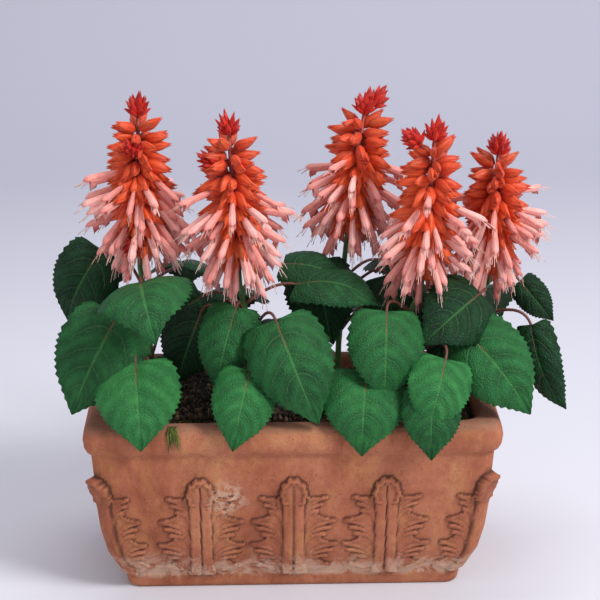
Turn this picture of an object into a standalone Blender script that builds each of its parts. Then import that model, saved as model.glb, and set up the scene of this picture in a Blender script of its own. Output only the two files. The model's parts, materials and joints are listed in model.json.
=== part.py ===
"""Scarlet salvia: five flowering plants in a terracotta trough with acanthus relief.

Metres, +Z up. The origin is the middle of the trough's base, on the surface that it stands on.
+X runs along the trough and -Y is its front. Lengths that are easier to read in millimetres
are written as a number times MM.
"""

import math
import random

import bmesh
import bpy
from mathutils import Matrix, Vector

MM = 0.001

# The trough: its rim's outline, and its wall's profile as (inset from the rim, height).
RIM_LENGTH = 400 * MM
RIM_WIDTH = 190 * MM
OUTER_PROFILE = [
    (36.0, 0), (34.0, 2), (31.5, 18), (27.0, 28), (19.5, 46), (15.0, 72), (10.5, 108), (7.0, 146),
    (6.0, 160), (2.4, 163), (0.6, 168), (0.0, 176), (1.4, 184), (5.0, 189), (8.0, 190),
]
INNER_PROFILE = [
    (16.0, 190), (18.5, 188), (21.5, 178), (22.0, 150), (27.0, 108), (34.0, 70), (44.0, 26), (50.0, 15),
]
OUTER_CORNER = 14 * MM
INNER_CORNER = 24 * MM
CORNER_STEPS = 3
DRAIN_RADIUS = 7 * MM
DRAIN_PLACES = [-90 * MM, 90 * MM]
SEAT_GAP = 0.3 * MM

# The acanthus leaf of the relief: half its outline, from its foot up to its curled head.
RELIEF_FOOT = 19 * MM
RELIEF_PITCH = 90 * MM
RELIEF_CROWN = 5.5 * MM
RELIEF_EDGE = 2.4 * MM
RELIEF_SUNK = 3.0 * MM
CURL_FROM = 86 * MM
ACANTHUS_HALF = [
    (12, 0), (24, 2), (36, 12), (19, 22), (38, 42), (18, 50), (39, 66), (15, 74), (28, 92), (12, 88), (14, 106),
]
ACANTHUS_HEAD = 116 * MM

# The compost: how high it is at the wall and how much it mounds and bumps.
SOIL_EDGE = 172 * MM
SOIL_MOUND = 11 * MM
SOIL_BUMP = 3 * MM
HOLE_SIDES = 8

# The plants' own sizes.
STEM_RADIUS = 3.2 * MM
STEM_TOP_RADIUS = 2.4 * MM
STEM_ROOTED = 36 * MM
PETIOLE_RADIUS = 1.5 * MM
BLADE_THICKNESS = 0.8 * MM
BLADE_STATIONS = 10
TOOTH = 0.022
FRONT_FACE = (0.0, -0.88, 0.47)
BACK_FACE = (0.0, 0.55, 0.83)
RACHIS_RADIUS = 2.6 * MM
ELBOW_ROOM = 3.0 * MM

# A flower spike: its whorls, as (share of the way up, pitch of the flowers, how many, whether they are
# open), with the bare length under the first whorl and over the last one.
WHORLS = [
    (0.00, -56, 5, True), (0.14, -47, 6, True), (0.28, -35, 6, True), (0.42, -24, 5, True), (0.54, -15, 4, True),
    (0.48, -34, 4, False), (0.66, -12, 6, False), (0.80, 8, 5, False), (0.98, 26, 3, False),
]
BARE_BELOW = 22 * MM
BARE_ABOVE = 17 * MM

# Turned outlines, as (radius, distance from the lower end) in millimetres. The core's is for a spike
# of length 1.
OPEN_FLOWER = [(0, 0), (5.5, 17), (2.8, 25), (4.9, 55), (0, 61)]
CLOSED_CALYX = [(0, 0), (5.8, 16), (0, 30)]
BRACT = [(0, 0), (3.8, 7), (0, 19)]
CORE = [(0, 0.08), (11, 0.18), (14, 0.40), (11, 0.66), (4, 0.88), (0, 0.97)]
FLOWER_SIDES = 4
CORE_SIDES = 6

# Each plant: how far its whorls are turned, where its stem leaves the compost, where its flower spike
# starts and where the spike's axis ends, then the side tufts as (share of the way up the spike, way
# round, tilt from upright) in degrees.
PLANTS = [
    {"turn": 17, "foot": (-138, 2), "neck": (-146, 8, 338), "crown": (-143, 8, 472), "tufts": [(0.10, -100, 100)]},
    {"turn": 34, "foot": (-40, -22), "neck": (-51, -20, 330), "crown": (-58, -18, 460), "tufts": [(0.66, 200, 50)]},
    {"turn": 51, "foot": (48, 38), "neck": (58, 46, 346), "crown": (72, 48, 462), "tufts": []},
    {"turn": 86, "foot": (98, -12), "neck": (126, -8, 316), "crown": (135, -6, 450), "tufts": []},
    {"turn": 85, "foot": (150, 22), "neck": (197, 30, 310), "crown": (200, 28, 426), "tufts": []},
]

# Each plant's leaves, in millimetres and degrees: the stem's height where the stalk starts, the foot of
# the blade (x, y, z), the blade's heading, pitch and roll, its length and its width.
LEAVES = [
    [
        (296, (-187, 44, 322), -166, -60, 0, 82, 66),
        (284, (-141, -52, 322), -79, -14, 0, 84, 88),
        (252, (-165, -46, 288), -142, -56, 0, 104, 84),
        (222, (-148, -70, 250), -80, -62, 0, 84, 80),
        (296, (-112, 48, 300), 84, -30, 0, 76, 66),
        (252, (-172, 46, 262), 138, -30, 0, 80, 70),
        (222, (-132, 40, 240), 100, -24, 0, 76, 68),
    ],
    [
        (284, (-88, 20, 280), -172, -34, 0, 60, 54),
        (262, (-88, 0, 272), -142, -64, 0, 74, 62),
        (272, (-53, -38, 292), -136, -68, 0, 84, 56),
        (246, (-16, -58, 286), -52, -56, 0, 106, 80),
        (222, (-41, -72, 241), -114, -58, 0, 78, 60),
        (300, (-8, 16, 315), -12, -16, -34, 72, 48),
        (286, (4, -8, 303), -13, -10, -36, 88, 54),
        (276, (-58, 28, 276), 88, -30, 0, 78, 70),
        (232, (-26, 22, 248), 58, -26, 0, 70, 62),
    ],
    [
        (286, (92, 78, 296), 30, -24, 0, 78, 68),
        (262, (34, 84, 282), 108, -34, 0, 82, 72),
        (232, (80, 66, 252), 62, -34, 0, 70, 60),
    ],
    [
        (272, (89, -48, 290), -97, -62, 0, 88, 72),
        (238, (69, -66, 236), -100, -58, 0, 80, 80),
        (214, (143, -78, 253), -120, -58, 0, 72, 60),
        (214, (130, -84, 228), -98, -64, 0, 70, 56),
        (262, (118, 40, 268), 80, -30, 0, 78, 68),
    ],
    [
        (268, (181, -20, 296), -142, -22, 0, 82, 72),
        (244, (166, -42, 266), -35, -42, 0, 100, 76),
        (250, (234, 66, 276), -24, -47, 10, 54, 34),
        (240, (232, -20, 263), -33, -66, 34, 92, 42),
        (256, (196, 72, 262), 66, -34, 0, 82, 70),
        (226, (160, 56, 246), 100, -30, 0, 78, 68),
    ],
]

COLOURS = {
    "terracotta": ((0.48, 0.20, 0.11, 1.0), 0.9),
    "compost": ((0.035, 0.028, 0.022, 1.0), 1.0),
    "leaf_green": ((0.03, 0.17, 0.05, 1.0), 0.55),
    "scarlet": ((0.72, 0.07, 0.03, 1.0), 0.5),
}


def material(name):
    """One plain Principled material from COLOURS."""
    made = bpy.data.materials.get(name) or bpy.data.materials.new(name)
    made.use_nodes = True
    shader = made.node_tree.nodes["Principled BSDF"]
    colour, roughness = COLOURS[name]
    shader.inputs["Base Color"].default_value = colour
    shader.inputs["Roughness"].default_value = roughness
    shader.inputs["Metallic"].default_value = 0.0
    return made


def collection(name, shown=True):
    """A collection in the scene."""
    made = bpy.data.collections.new(name)
    made.hide_render = not shown
    bpy.context.scene.collection.children.link(made)
    return made


def mesh_object(name, mesh, holder):
    """An object for this mesh, in that collection."""
    obj = bpy.data.objects.new(name, mesh)
    holder.objects.link(obj)
    return obj


def solid_mesh(name, vertices, faces):
    """A mesh whose faces all point outwards."""
    mesh = bpy.data.meshes.new(name)
    mesh.from_pydata([tuple(v) for v in vertices], [], faces)
    work = bmesh.new()
    work.from_mesh(mesh)
    bmesh.ops.recalc_face_normals(work, faces=work.faces)
    bmesh.ops.triangulate(work, faces=[f for f in work.faces if len(f.verts) > 4])
    work.to_mesh(mesh)
    work.free()
    return mesh


def evaluated_mesh(obj):
    """What the object's modifiers or its curve make of it, as a mesh with its caps welded."""
    bpy.context.view_layer.update()
    graph = bpy.context.evaluated_depsgraph_get()
    mesh = bpy.data.meshes.new_from_object(obj.evaluated_get(graph))
    mesh.transform(obj.matrix_world)
    work = bmesh.new()
    work.from_mesh(mesh)
    bmesh.ops.remove_doubles(work, verts=work.verts, dist=0.01 * MM)
    work.to_mesh(mesh)
    work.free()
    return mesh


def island_of(vertex):
    """Every vertex that edges join to this one."""
    island, fresh = {vertex}, [vertex]
    while fresh:
        for edge in fresh.pop().link_edges:
            for other in edge.verts:
                if other not in island:
                    island.add(other)
                    fresh.append(other)
    return island


def fill_pockets(mesh):
    """Fills every pocket that is closed in on all sides, by taking its inside-out skin away."""
    work = bmesh.new()
    work.from_mesh(mesh)
    left = set(work.verts)
    while left:
        island = island_of(next(iter(left)))
        left -= island
        faces = {face for vertex in island for face in vertex.link_faces}
        volume = 0.0
        for face in faces:
            first, *rest = [vertex.co for vertex in face.verts]
            volume += sum(first.dot(b.cross(c)) for b, c in zip(rest, rest[1:]))
        if volume < 0:
            bmesh.ops.delete(work, geom=list(island), context="VERTS")
    work.to_mesh(mesh)
    work.free()


def combine(obj, holder, operation="UNION"):
    """Joins the holder's objects to obj, or cuts them from it, and removes them."""
    boolean = obj.modifiers.new(operation.lower(), "BOOLEAN")
    boolean.operation = operation
    boolean.operand_type = "COLLECTION"
    boolean.collection = holder
    boolean.solver = "MANIFOLD"
    obj.data = evaluated_mesh(obj)
    obj.modifiers.clear()
    fill_pockets(obj.data)
    for other in list(holder.objects):
        bpy.data.objects.remove(other)
    bpy.data.collections.remove(holder)


def tube_mesh(points, start_radius, end_radius):
    """A square-sided tube along the points, as mint-family stems are square."""
    data = bpy.data.curves.new("tube", "CURVE")
    data.dimensions = "3D"
    data.bevel_depth = 1.0
    data.bevel_resolution = 0
    data.use_fill_caps = True
    spline = data.splines.new("POLY")
    spline.points.add(len(points) - 1)
    for i, (target, point) in enumerate(zip(spline.points, points)):
        share = i / (len(points) - 1)
        target.co = (*point, 1.0)
        target.radius = start_radius + (end_radius - start_radius) * share
    curve = bpy.data.objects.new("tube", data)
    bpy.context.scene.collection.objects.link(curve)
    mesh = evaluated_mesh(curve)
    bpy.data.objects.remove(curve)
    return mesh


def turned_mesh(profile, sides=FLOWER_SIDES):
    """A closed turned shape along +Z from a profile of (radius, height) in millimetres."""
    mesh = bpy.data.meshes.new("profile")
    points = [(radius * MM, 0, height * MM) for radius, height in reversed(profile)]
    mesh.from_pydata(points, [(i, i + 1) for i in range(len(points) - 1)], [])
    turned = mesh_object("profile", mesh, bpy.context.scene.collection)
    screw = turned.modifiers.new("turn", "SCREW")
    screw.steps = screw.render_steps = sides
    screw.use_merge_vertices = True
    screw.merge_threshold = 0.05 * MM
    made = evaluated_mesh(turned)
    bpy.data.objects.remove(turned)
    return made


def inset_at(profile, z):
    """The wall's inset from the rim at height z, both in metres."""
    heights = [height * MM for _, height in profile]
    for (inset, _), (next_inset, _), low, high in zip(profile, profile[1:], heights, heights[1:]):
        if low <= z <= high:
            share = (z - low) / (high - low)
            return (inset + (next_inset - inset) * share) * MM
    return profile[-1][0] * MM


def rounded_ring(inset, z, corner, gap=0.0):
    """A rounded rectangle inset from the rim, as points that run anticlockwise seen from above."""
    half_x = RIM_LENGTH / 2 - inset - gap
    half_y = RIM_WIDTH / 2 - inset - gap
    ring = []
    for quarter, (sx, sy) in enumerate([(1, 1), (-1, 1), (-1, -1), (1, -1)]):
        for step in range(CORNER_STEPS + 1):
            turn = math.radians(90 * (quarter + step / CORNER_STEPS))
            ring.append(
                Vector((
                    sx * (half_x - corner) + corner * math.cos(turn),
                    sy * (half_y - corner) + corner * math.sin(turn),
                    z,
                ))
            )
    return ring


def loft_mesh(name, rings):
    """A closed skin through rings of equal length, with both ends capped."""
    count = len(rings[0])
    vertices = [point for ring in rings for point in ring]
    faces = []
    for level in range(len(rings) - 1):
        for i in range(count):
            j = (i + 1) % count
            low, high = level * count, (level + 1) * count
            faces.append((low + i, low + j, high + j, high + i))
    faces.append(tuple(reversed(range(count))))
    faces.append(tuple(range((len(rings) - 1) * count, len(rings) * count)))
    return solid_mesh(name, vertices, faces)


def wall_point(place, along, z, rise):
    """A point on the trough's outer wall at height z, raised from it. place counts the faces and corners
    anticlockwise from the front (0 front, 1 front right corner, 2 right face and so on), and along is the
    distance sideways from that place's middle."""
    inset = inset_at(OUTER_PROFILE, z)
    straight_x = RIM_LENGTH / 2 - inset - OUTER_CORNER
    straight_y = RIM_WIDTH / 2 - inset - OUTER_CORNER
    arc = math.pi * OUTER_CORNER / 2
    lengths = [2 * straight_x, arc, 2 * straight_y, arc] * 2
    while abs(along) > lengths[place] / 2:
        step = 1 if along > 0 else -1
        after = (place + step) % len(lengths)
        along -= step * (lengths[place] + lengths[after]) / 2
        place = after
    heading = math.radians(45 * place - 90)
    if place % 2:
        signs = [(1, -1), (1, 1), (-1, 1), (-1, -1)][place // 2]
        heading += along / OUTER_CORNER
        outward = Vector((math.cos(heading), math.sin(heading), 0))
        centre = Vector((signs[0] * straight_x, signs[1] * straight_y, z))
        return centre + outward * (OUTER_CORNER + rise)
    outward = Vector((math.cos(heading), math.sin(heading), 0))
    sideways = Vector((-outward.y, outward.x, 0))
    out = (straight_x if place % 4 else straight_y) + OUTER_CORNER + rise
    return Vector((0, 0, z)) + outward * out + sideways * along


def acanthus_mesh(place, offset, spread, curl):
    """One acanthus leaf of the relief: a lobed plate that follows the wall, crowned along its middle,
    with its head curled outwards by curl."""
    half = [(side * spread * MM, height * MM) for side, height in reversed(ACANTHUS_HALF)]
    outline = [(0.0, ACANTHUS_HEAD)] + half + [(-side, height) for side, height in reversed(half)]

    def point(side, height, rise):
        curled = curl * max(0.0, height - CURL_FROM) / (ACANTHUS_HEAD - CURL_FROM)
        return wall_point(place, offset + side, RELIEF_FOOT + height, rise + curled)

    vertices = [point(side, height, RELIEF_EDGE) for side, height in outline]
    vertices += [point(side, height, -RELIEF_SUNK - curl) for side, height in outline]
    count = len(outline)
    faces = [(i, (i + 1) % count, count + (i + 1) % count, count + i) for i in range(count)]
    for edge, rise in ((0, RELIEF_CROWN), (count, -RELIEF_SUNK - curl)):
        first = len(vertices)
        vertices += [point(0.0, height, rise) for _, height in half]
        faces += [(edge, edge + 1, first), (edge, first, edge + count - 1)]
        for step in range(1, len(half)):
            middle = first + step
            for near, far in ((edge + step, edge + step + 1), (edge + count - step, edge + count - step - 1)):
                faces += [(near, far, middle), (near, middle, middle - 1)]
        faces.append((edge + len(half), edge + len(half) + 1, first + len(half) - 1))
    return solid_mesh("acanthus", vertices, faces)


def relief_places():
    """Where the acanthus leaves stand: (place, offset along it, how wide they spread, how far they curl)."""
    places = [(face, offset, 1.0, 2 * MM) for face in (0, 4) for offset in (-RELIEF_PITCH, 0.0, RELIEF_PITCH)]
    places += [(face, 0.0, 0.75, 2 * MM) for face in (2, 6)]
    places += [(corner, 0.0, 0.85, 6 * MM) for corner in (1, 3, 5, 7)]
    return places


def make_trough(holder):
    """The pot: one thick-walled shell with the relief grown out of it and two drain holes."""
    rings = [rounded_ring(inset * MM, z * MM, OUTER_CORNER) for inset, z in OUTER_PROFILE]
    rings += [rounded_ring(inset * MM, z * MM, INNER_CORNER) for inset, z in INNER_PROFILE]
    trough = mesh_object("trough", loft_mesh("trough", rings), holder)
    relief = collection("relief")
    for place, offset, spread, curl in relief_places():
        mesh_object("acanthus", acanthus_mesh(place, offset, spread, curl), relief)
    combine(trough, relief)
    drains = collection("drains", shown=False)
    for x in DRAIN_PLACES:
        bpy.ops.mesh.primitive_cylinder_add(
            vertices=12, radius=DRAIN_RADIUS, depth=INNER_PROFILE[-1][1] * 4 * MM, location=(x, 0, 0)
        )
        drain = bpy.context.object
        for other in list(drain.users_collection):
            other.objects.unlink(drain)
        drains.objects.link(drain)
    combine(trough, drains, "DIFFERENCE")
    trough.data.materials.append(material("terracotta"))
    return trough


def make_compost(holder):
    """The compost: it fills the trough, mounds in the middle and has a plain hole for each stem."""
    profile = [(inset, z) for inset, z in INNER_PROFILE if z * MM < SOIL_EDGE]
    edge_inset = inset_at(list(reversed(INNER_PROFILE)), SOIL_EDGE) / MM
    rings = [rounded_ring(edge_inset * MM, SOIL_EDGE, INNER_CORNER, SEAT_GAP)]
    rings += [rounded_ring(inset * MM, z * MM, INNER_CORNER, SEAT_GAP) for inset, z in profile]
    for point in rings[-1]:
        point.z += SEAT_GAP
    rings.reverse()
    bumps = random.Random(7)
    edge = rings[-1]
    for share, mound in ((0.93, 0.25), (0.74, 0.75), (0.48, 0.95), (0.2, 1.0)):
        height = SOIL_EDGE + SOIL_MOUND * mound
        rings.append([
            Vector((p.x * share, p.y * share, height + bumps.uniform(-SOIL_BUMP, SOIL_BUMP) / 2))
            for p in edge
        ])
    compost = mesh_object("compost", loft_mesh("compost", rings), holder)
    holes = collection("holes", shown=False)
    for plant in PLANTS:
        bpy.ops.mesh.primitive_cylinder_add(
            vertices=HOLE_SIDES,
            radius=(STEM_RADIUS + SEAT_GAP) / math.cos(math.pi / HOLE_SIDES),
            depth=2 * (STEM_ROOTED + SEAT_GAP),
            location=(plant["foot"][0] * MM, plant["foot"][1] * MM, SOIL_EDGE + SOIL_MOUND),
        )
        hole = bpy.context.object
        for other in list(hole.users_collection):
            other.objects.unlink(hole)
        holes.objects.link(hole)
    combine(compost, holes, "DIFFERENCE")
    compost.data.materials.append(material("compost"))
    return compost


def bezier(start, middle, end, count):
    """Points of a quadratic curve."""
    shares = [i / (count - 1) for i in range(count)]
    return [start * (1 - t) ** 2 + middle * 2 * t * (1 - t) + end * t * t for t in shares]


def vector_mm(numbers):
    return Vector(numbers) * MM


def stem_points(plant):
    """The stem's line, from its foot in the compost to just below its flower spike."""
    foot = vector_mm((*plant["foot"], 0))
    neck = vector_mm(plant["neck"])
    upward = (vector_mm(plant["crown"]) - neck).normalized()
    ground = SOIL_EDGE + SOIL_MOUND
    below = Vector((foot.x, foot.y, ground - STEM_ROOTED))
    above = Vector((foot.x, foot.y, ground + 4 * MM))
    shoulder = neck - upward * 22 * MM
    bend = Vector((foot.x, foot.y, (above.z + shoulder.z) / 2))
    return [below] + bezier(above, bend, shoulder, 5) + [neck - upward * SEAT_GAP]


def point_at_height(points, z):
    """Where a rising line of points passes height z."""
    for low, high in zip(points, points[1:]):
        if low.z <= z <= high.z:
            return low.lerp(high, (z - low.z) / (high.z - low.z))
    return points[-1]


def blade_outline(share):
    """(distance from the blade's foot, half width) at a share of the way round from foot to tip,
    for a blade of length and width 1: heart-shaped, with a drawn-out tip."""
    forward = share - 0.16 * math.sin(math.pi * min(1.0, share / 0.35)) * (1 - share)
    taper = max(0.0, (share - 0.72) / 0.28)
    half = 0.5 * max(0.0, math.sin(math.pi * share**0.68)) ** 0.82 * (1 - 0.35 * taper)
    return forward, half


def blade_mesh(length, width, arch=0.10, fold=0.10):
    """A toothed heart-shaped blade along +X that faces +Z, arched along its length and folded to its rib."""
    left, right, rib = [], [], []
    for step in range(BLADE_STATIONS + 1):
        share = step / BLADE_STATIONS
        forward, half = blade_outline(share)
        if 0 < step < BLADE_STATIONS:
            tooth = TOOTH if step % 2 else -TOOTH
            half += tooth * (1 - 0.6 * share)
        rib.append((max(0.0, share) * length, 0.0))
        left.append((forward * length, half * width))
        right.append((forward * length, -half * width))

    def surface(x, y):
        rise = arch * length * math.sin(math.pi * min(1.0, max(0.0, x / length)))
        return rise + fold * abs(y)

    rows = []
    for step in range(1, BLADE_STATIONS):
        rows.append([left[step], rib[step], right[step]])
    flat = [rib[0]] + [point for row in rows for point in row] + [rib[-1]]
    count = len(flat)
    vertices = []
    for offset in (BLADE_THICKNESS / 2, -BLADE_THICKNESS / 2):
        vertices += [Vector((x, y, surface(x, y) + offset)) for x, y in flat]
    top = []
    for row in range(len(rows) - 1):
        a, b = 1 + 3 * row, 4 + 3 * row
        top += [(a, a + 1, b), (a + 1, b + 1, b), (a + 1, a + 2, b + 1), (a + 2, b + 2, b + 1)]
    last = 1 + 3 * (len(rows) - 1)
    top += [(0, 2, 1), (0, 3, 2), (last, last + 1, count - 1), (last + 1, last + 2, count - 1)]
    edge = [0] + [1 + 3 * row for row in range(len(rows))] + [count - 1]
    edge += [3 + 3 * row for row in reversed(range(len(rows)))]
    faces = top + [tuple(count + i for i in reversed(face)) for face in top]
    for i, here in enumerate(edge):
        after = edge[(i + 1) % len(edge)]
        faces.append((here, after, count + after))
        faces.append((here, count + after, count + here))
    return solid_mesh("blade", vertices, faces)


def blade_frame(foot, heading, pitch, roll):
    """Where a blade lies: its foot, the way its tip points and its upper face, which looks to the nearer
    long side of the trough and up, rolled about the line to its tip."""
    forward = aim(heading, pitch)
    face = Vector(BACK_FACE if forward.y > 0 else FRONT_FACE)
    face = Matrix.Rotation(math.radians(roll), 3, forward) @ face
    side = face.cross(forward).normalized()
    normal = forward.cross(side)
    turned = Matrix((forward, side, normal)).transposed().to_4x4()
    return Matrix.Translation(foot) @ turned


def stalk_points(start, frame, length):
    """A leaf stalk's line, from the stem to a little way along the back of its blade."""
    foot = frame.translation
    forward = frame.to_3x3() @ Vector((1, 0, 0))
    reach = (foot - start).length
    return bezier(start, foot - forward * reach * 0.4, foot + forward * length * 0.04, 4)


def make_leafy_stem(number, plant, leaves, holder):
    """One plant's stem with its leaves grown out of it."""
    line = stem_points(plant)
    stem = mesh_object(f"leafy_stem_{number}", tube_mesh(line, STEM_RADIUS, STEM_TOP_RADIUS), holder)
    growth = collection("growth")
    for height, foot, heading, pitch, roll, length, width in leaves:
        frame = blade_frame(vector_mm(foot), heading, pitch, roll)
        blade = mesh_object("blade", blade_mesh(length * MM, width * MM), growth)
        blade.data.transform(frame)
        start = point_at_height(line, height * MM)
        stalk = tube_mesh(stalk_points(start, frame, length * MM), PETIOLE_RADIUS, PETIOLE_RADIUS * 0.8)
        mesh_object("stalk", stalk, growth)
    combine(stem, growth)
    stem.data.materials.append(material("leaf_green"))
    return stem


def axis_at(plant, z):
    """The middle of a plant's flower spike at height z, as a flat (x, y) vector in metres."""
    neck, crown = vector_mm(plant["neck"]), vector_mm(plant["crown"])
    share = (z - neck.z) / (crown.z - neck.z)
    return (neck.lerp(crown, min(1.0, max(0.0, share)))).to_2d()


def reach_limit(plant, tip):
    """How far past the halfway line to the nearest other spike a flower's tip would be."""
    here = axis_at(plant, tip.z)
    worst = -1.0
    for other in PLANTS:
        if other is plant:
            continue
        between = axis_at(other, tip.z) - here
        past = (tip.to_2d() - here).dot(between.normalized()) - between.length / 2 + ELBOW_ROOM
        worst = max(worst, past)
    return worst


def aim(heading, pitch):
    """The unit vector with this heading and pitch, in degrees."""
    turn, rise = math.radians(heading), math.radians(pitch)
    return Vector((math.cos(turn) * math.cos(rise), math.sin(turn) * math.cos(rise), math.sin(rise)))


def flower_places(plant, number):
    """Every flower of a spike: (root, direction, whether it is open, scale)."""
    chance = random.Random(100 + number)
    neck, crown = vector_mm(plant["neck"]), vector_mm(plant["crown"])
    upward = (crown - neck).normalized()
    first, last = neck + upward * BARE_BELOW, crown - upward * BARE_ABOVE
    found = []
    for whorl, (share, droop, count, is_open) in enumerate(WHORLS):
        root = first.lerp(last, share)
        for flower in range(count):
            heading = 360 * flower / count + 37 * whorl + plant["turn"] + chance.uniform(-7, 7)
            pitch = droop + chance.uniform(-7, 7)
            size = (1.0 - 0.14 * share) * chance.uniform(0.94, 1.06)
            length = (OPEN_FLOWER if is_open else CLOSED_CALYX)[-1][1] * MM * size
            while reach_limit(plant, root + aim(heading, pitch) * length) > 0 and pitch > -82:
                pitch -= 2
            found.append((root, aim(heading, pitch), is_open, size))
    return found


def tuft_places(root, axis, number):
    """The bracts of a bud tuft: (root, direction, scale), in two rings round its axis and one on it."""
    side = axis.orthogonal().normalized()
    across = axis.cross(side)
    found = [(root, axis, 1.1)]
    for ring, (count, lean, scale) in enumerate(((3, 22, 1.05), (4, 44, 0.95))):
        for i in range(count):
            turn = math.radians(360 * (i + 0.5 * ring) / count + 23 * number)
            outward = side * math.cos(turn) + across * math.sin(turn)
            tilt = math.radians(lean)
            found.append((root, axis * math.cos(tilt) + outward * math.sin(tilt), scale))
    return found


def placed(mesh, root, direction, scale):
    """A copy of a shape that stands along +Z, scaled and turned to start at root along direction."""
    copy = mesh.copy()
    turn = direction.to_track_quat("Z", "Y").to_matrix().to_4x4()
    copy.transform(Matrix.Translation(root) @ turn @ Matrix.Scale(scale, 4))
    return copy


def make_spike(number, plant, shapes, holder):
    """One flower spike: its axis, the whorls of flowers round it and the tuft of bracts on top."""
    neck, crown = vector_mm(plant["neck"]), vector_mm(plant["crown"])
    upward = (crown - neck).normalized()
    axis = tube_mesh([neck, crown], RACHIS_RADIUS, RACHIS_RADIUS * 0.75)
    spike = mesh_object(f"flower_spike_{number}", axis, holder)
    growth = collection("growth")
    length = (crown - neck).length / MM
    core = turned_mesh([(radius, share * length) for radius, share in CORE], CORE_SIDES)
    mesh_object("core", placed(core, neck, upward, 1.0), growth)
    for root, direction, is_open, scale in flower_places(plant, number):
        shape = shapes["open"] if is_open else shapes["closed"]
        mesh_object("flower", placed(shape, root, direction, scale), growth)
    for root, direction, scale in tuft_places(crown - upward * 1.5 * MM, upward, number):
        mesh_object("bract", placed(shapes["bract"], root, direction, scale), growth)
    for share, heading, tilt in plant["tufts"]:
        start = neck.lerp(crown, share)
        direction = aim(heading, 90 - tilt)
        end = start + direction * 26 * MM
        mesh_object("side_axis", tube_mesh([start, end], RACHIS_RADIUS * 0.8, RACHIS_RADIUS * 0.7), growth)
        for root, leaning, scale in tuft_places(end - direction * 1.5 * MM, direction, number):
            mesh_object("bract", placed(shapes["bract"], root, leaning, scale), growth)
    combine(spike, growth)
    spike.data.materials.append(material("scarlet"))
    return spike


def main():
    for obj in list(bpy.data.objects):
        bpy.data.objects.remove(obj)
    holder = collection("scarlet_salvia")
    make_trough(holder)
    make_compost(holder)
    shapes = {
        "open": turned_mesh(OPEN_FLOWER),
        "closed": turned_mesh(CLOSED_CALYX),
        "bract": turned_mesh(BRACT),
    }
    for number, (plant, leaves) in enumerate(zip(PLANTS, LEAVES), start=1):
        make_leafy_stem(number, plant, leaves, holder)
        make_spike(number, plant, shapes, holder)


main()
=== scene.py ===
import json
import math
import random

import bpy
import numpy as np
from mathutils import Matrix, Vector

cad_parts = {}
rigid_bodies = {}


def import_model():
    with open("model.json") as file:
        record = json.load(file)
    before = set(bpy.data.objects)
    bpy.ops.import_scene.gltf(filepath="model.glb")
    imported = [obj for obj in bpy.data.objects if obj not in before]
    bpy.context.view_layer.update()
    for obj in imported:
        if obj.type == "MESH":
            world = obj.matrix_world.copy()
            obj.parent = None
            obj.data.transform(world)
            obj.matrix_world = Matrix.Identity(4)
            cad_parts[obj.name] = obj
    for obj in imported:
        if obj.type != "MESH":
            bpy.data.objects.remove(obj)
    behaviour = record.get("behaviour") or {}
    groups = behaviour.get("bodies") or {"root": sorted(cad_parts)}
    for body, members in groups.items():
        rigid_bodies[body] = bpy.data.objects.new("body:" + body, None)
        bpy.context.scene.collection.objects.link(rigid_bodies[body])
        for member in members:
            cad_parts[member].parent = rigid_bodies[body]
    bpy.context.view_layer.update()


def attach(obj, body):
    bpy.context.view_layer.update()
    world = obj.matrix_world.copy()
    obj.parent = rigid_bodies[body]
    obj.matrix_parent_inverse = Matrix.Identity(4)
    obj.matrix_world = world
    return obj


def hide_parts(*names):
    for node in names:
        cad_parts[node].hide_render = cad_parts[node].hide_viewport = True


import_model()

MM = 0.001


def placed(name, data):
    """A new object, in the scene."""
    obj = bpy.data.objects.new(name, data)
    bpy.context.scene.collection.objects.link(obj)
    return obj


# Camera

# The photograph's long lens, as it was fitted to the trough's edges: its focal length and the place of
# the point that it looks at, in pixels of the 600 pixel frame, and its distance from the plants.
LENS_PIXELS = 1600.0
FRAME_PIXELS = 600.0
SENSOR_WIDTH = 36.0
CAMERA_PITCH = math.radians(23.0)
CAMERA_YAW = math.radians(1.23)
CAMERA_DISTANCE = 1.575
SIGHT_HEIGHT = 0.240
SIGHT_OFFSET = (8.6, 41.0)


def make_camera():
    """The camera, turned a little so that no shift is needed to frame the object."""
    turn = Matrix.Rotation(-CAMERA_YAW, 3, "Z")
    ahead = turn @ Vector((0, math.cos(CAMERA_PITCH), -math.sin(CAMERA_PITCH)))
    right = turn @ Vector((1, 0, 0))
    across, up = (offset / LENS_PIXELS for offset in SIGHT_OFFSET)
    sight = ahead + right * across + right.cross(ahead) * up
    data = bpy.data.cameras.new("photo_camera")
    data.sensor_width = SENSOR_WIDTH
    data.lens = LENS_PIXELS / FRAME_PIXELS * SENSOR_WIDTH
    data.clip_end = 30
    camera = placed("photo_camera", data)
    camera.location = Vector((0, 0, SIGHT_HEIGHT)) - ahead * CAMERA_DISTANCE
    camera.rotation_euler = sight.to_track_quat("-Z", "Y").to_euler()
    bpy.context.scene.camera = camera


# Nodes and materials

MATHS = "ShaderNodeMath"
NOISE = "ShaderNodeTexNoise"
RAMP = "ShaderNodeValToRGB"
BAND = "ShaderNodeMapRange"
MIX = "ShaderNodeMix"
BUMP = "ShaderNodeBump"
MARK = "ShaderNodeAttribute"
OWN_VALUE = "GeometryNodeInputNamedAttribute"
CHANCE = "FunctionNodeRandomValue"
SMOOTH = {"interpolation_type": "SMOOTHSTEP"}
COLOURS = {"data_type": "RGBA"}
DECIMAL = {"data_type": "FLOAT"}
# The middle of the lime splash on the front, in metres, and the streaks round a petal or calyx.
LIME_SPLASH = (-0.063, -0.088, 0.112)
PETAL_STREAKS = 6


def linear(hex_colour):
    """An sRGB hex colour as linear RGBA."""
    channels = [int(hex_colour[i:i + 2], 16) / 255 for i in (1, 3, 5)]
    return [c / 12.92 if c <= 0.04045 else ((c + 0.055) / 1.055) ** 2.4 for c in channels] + [1.0]


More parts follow.
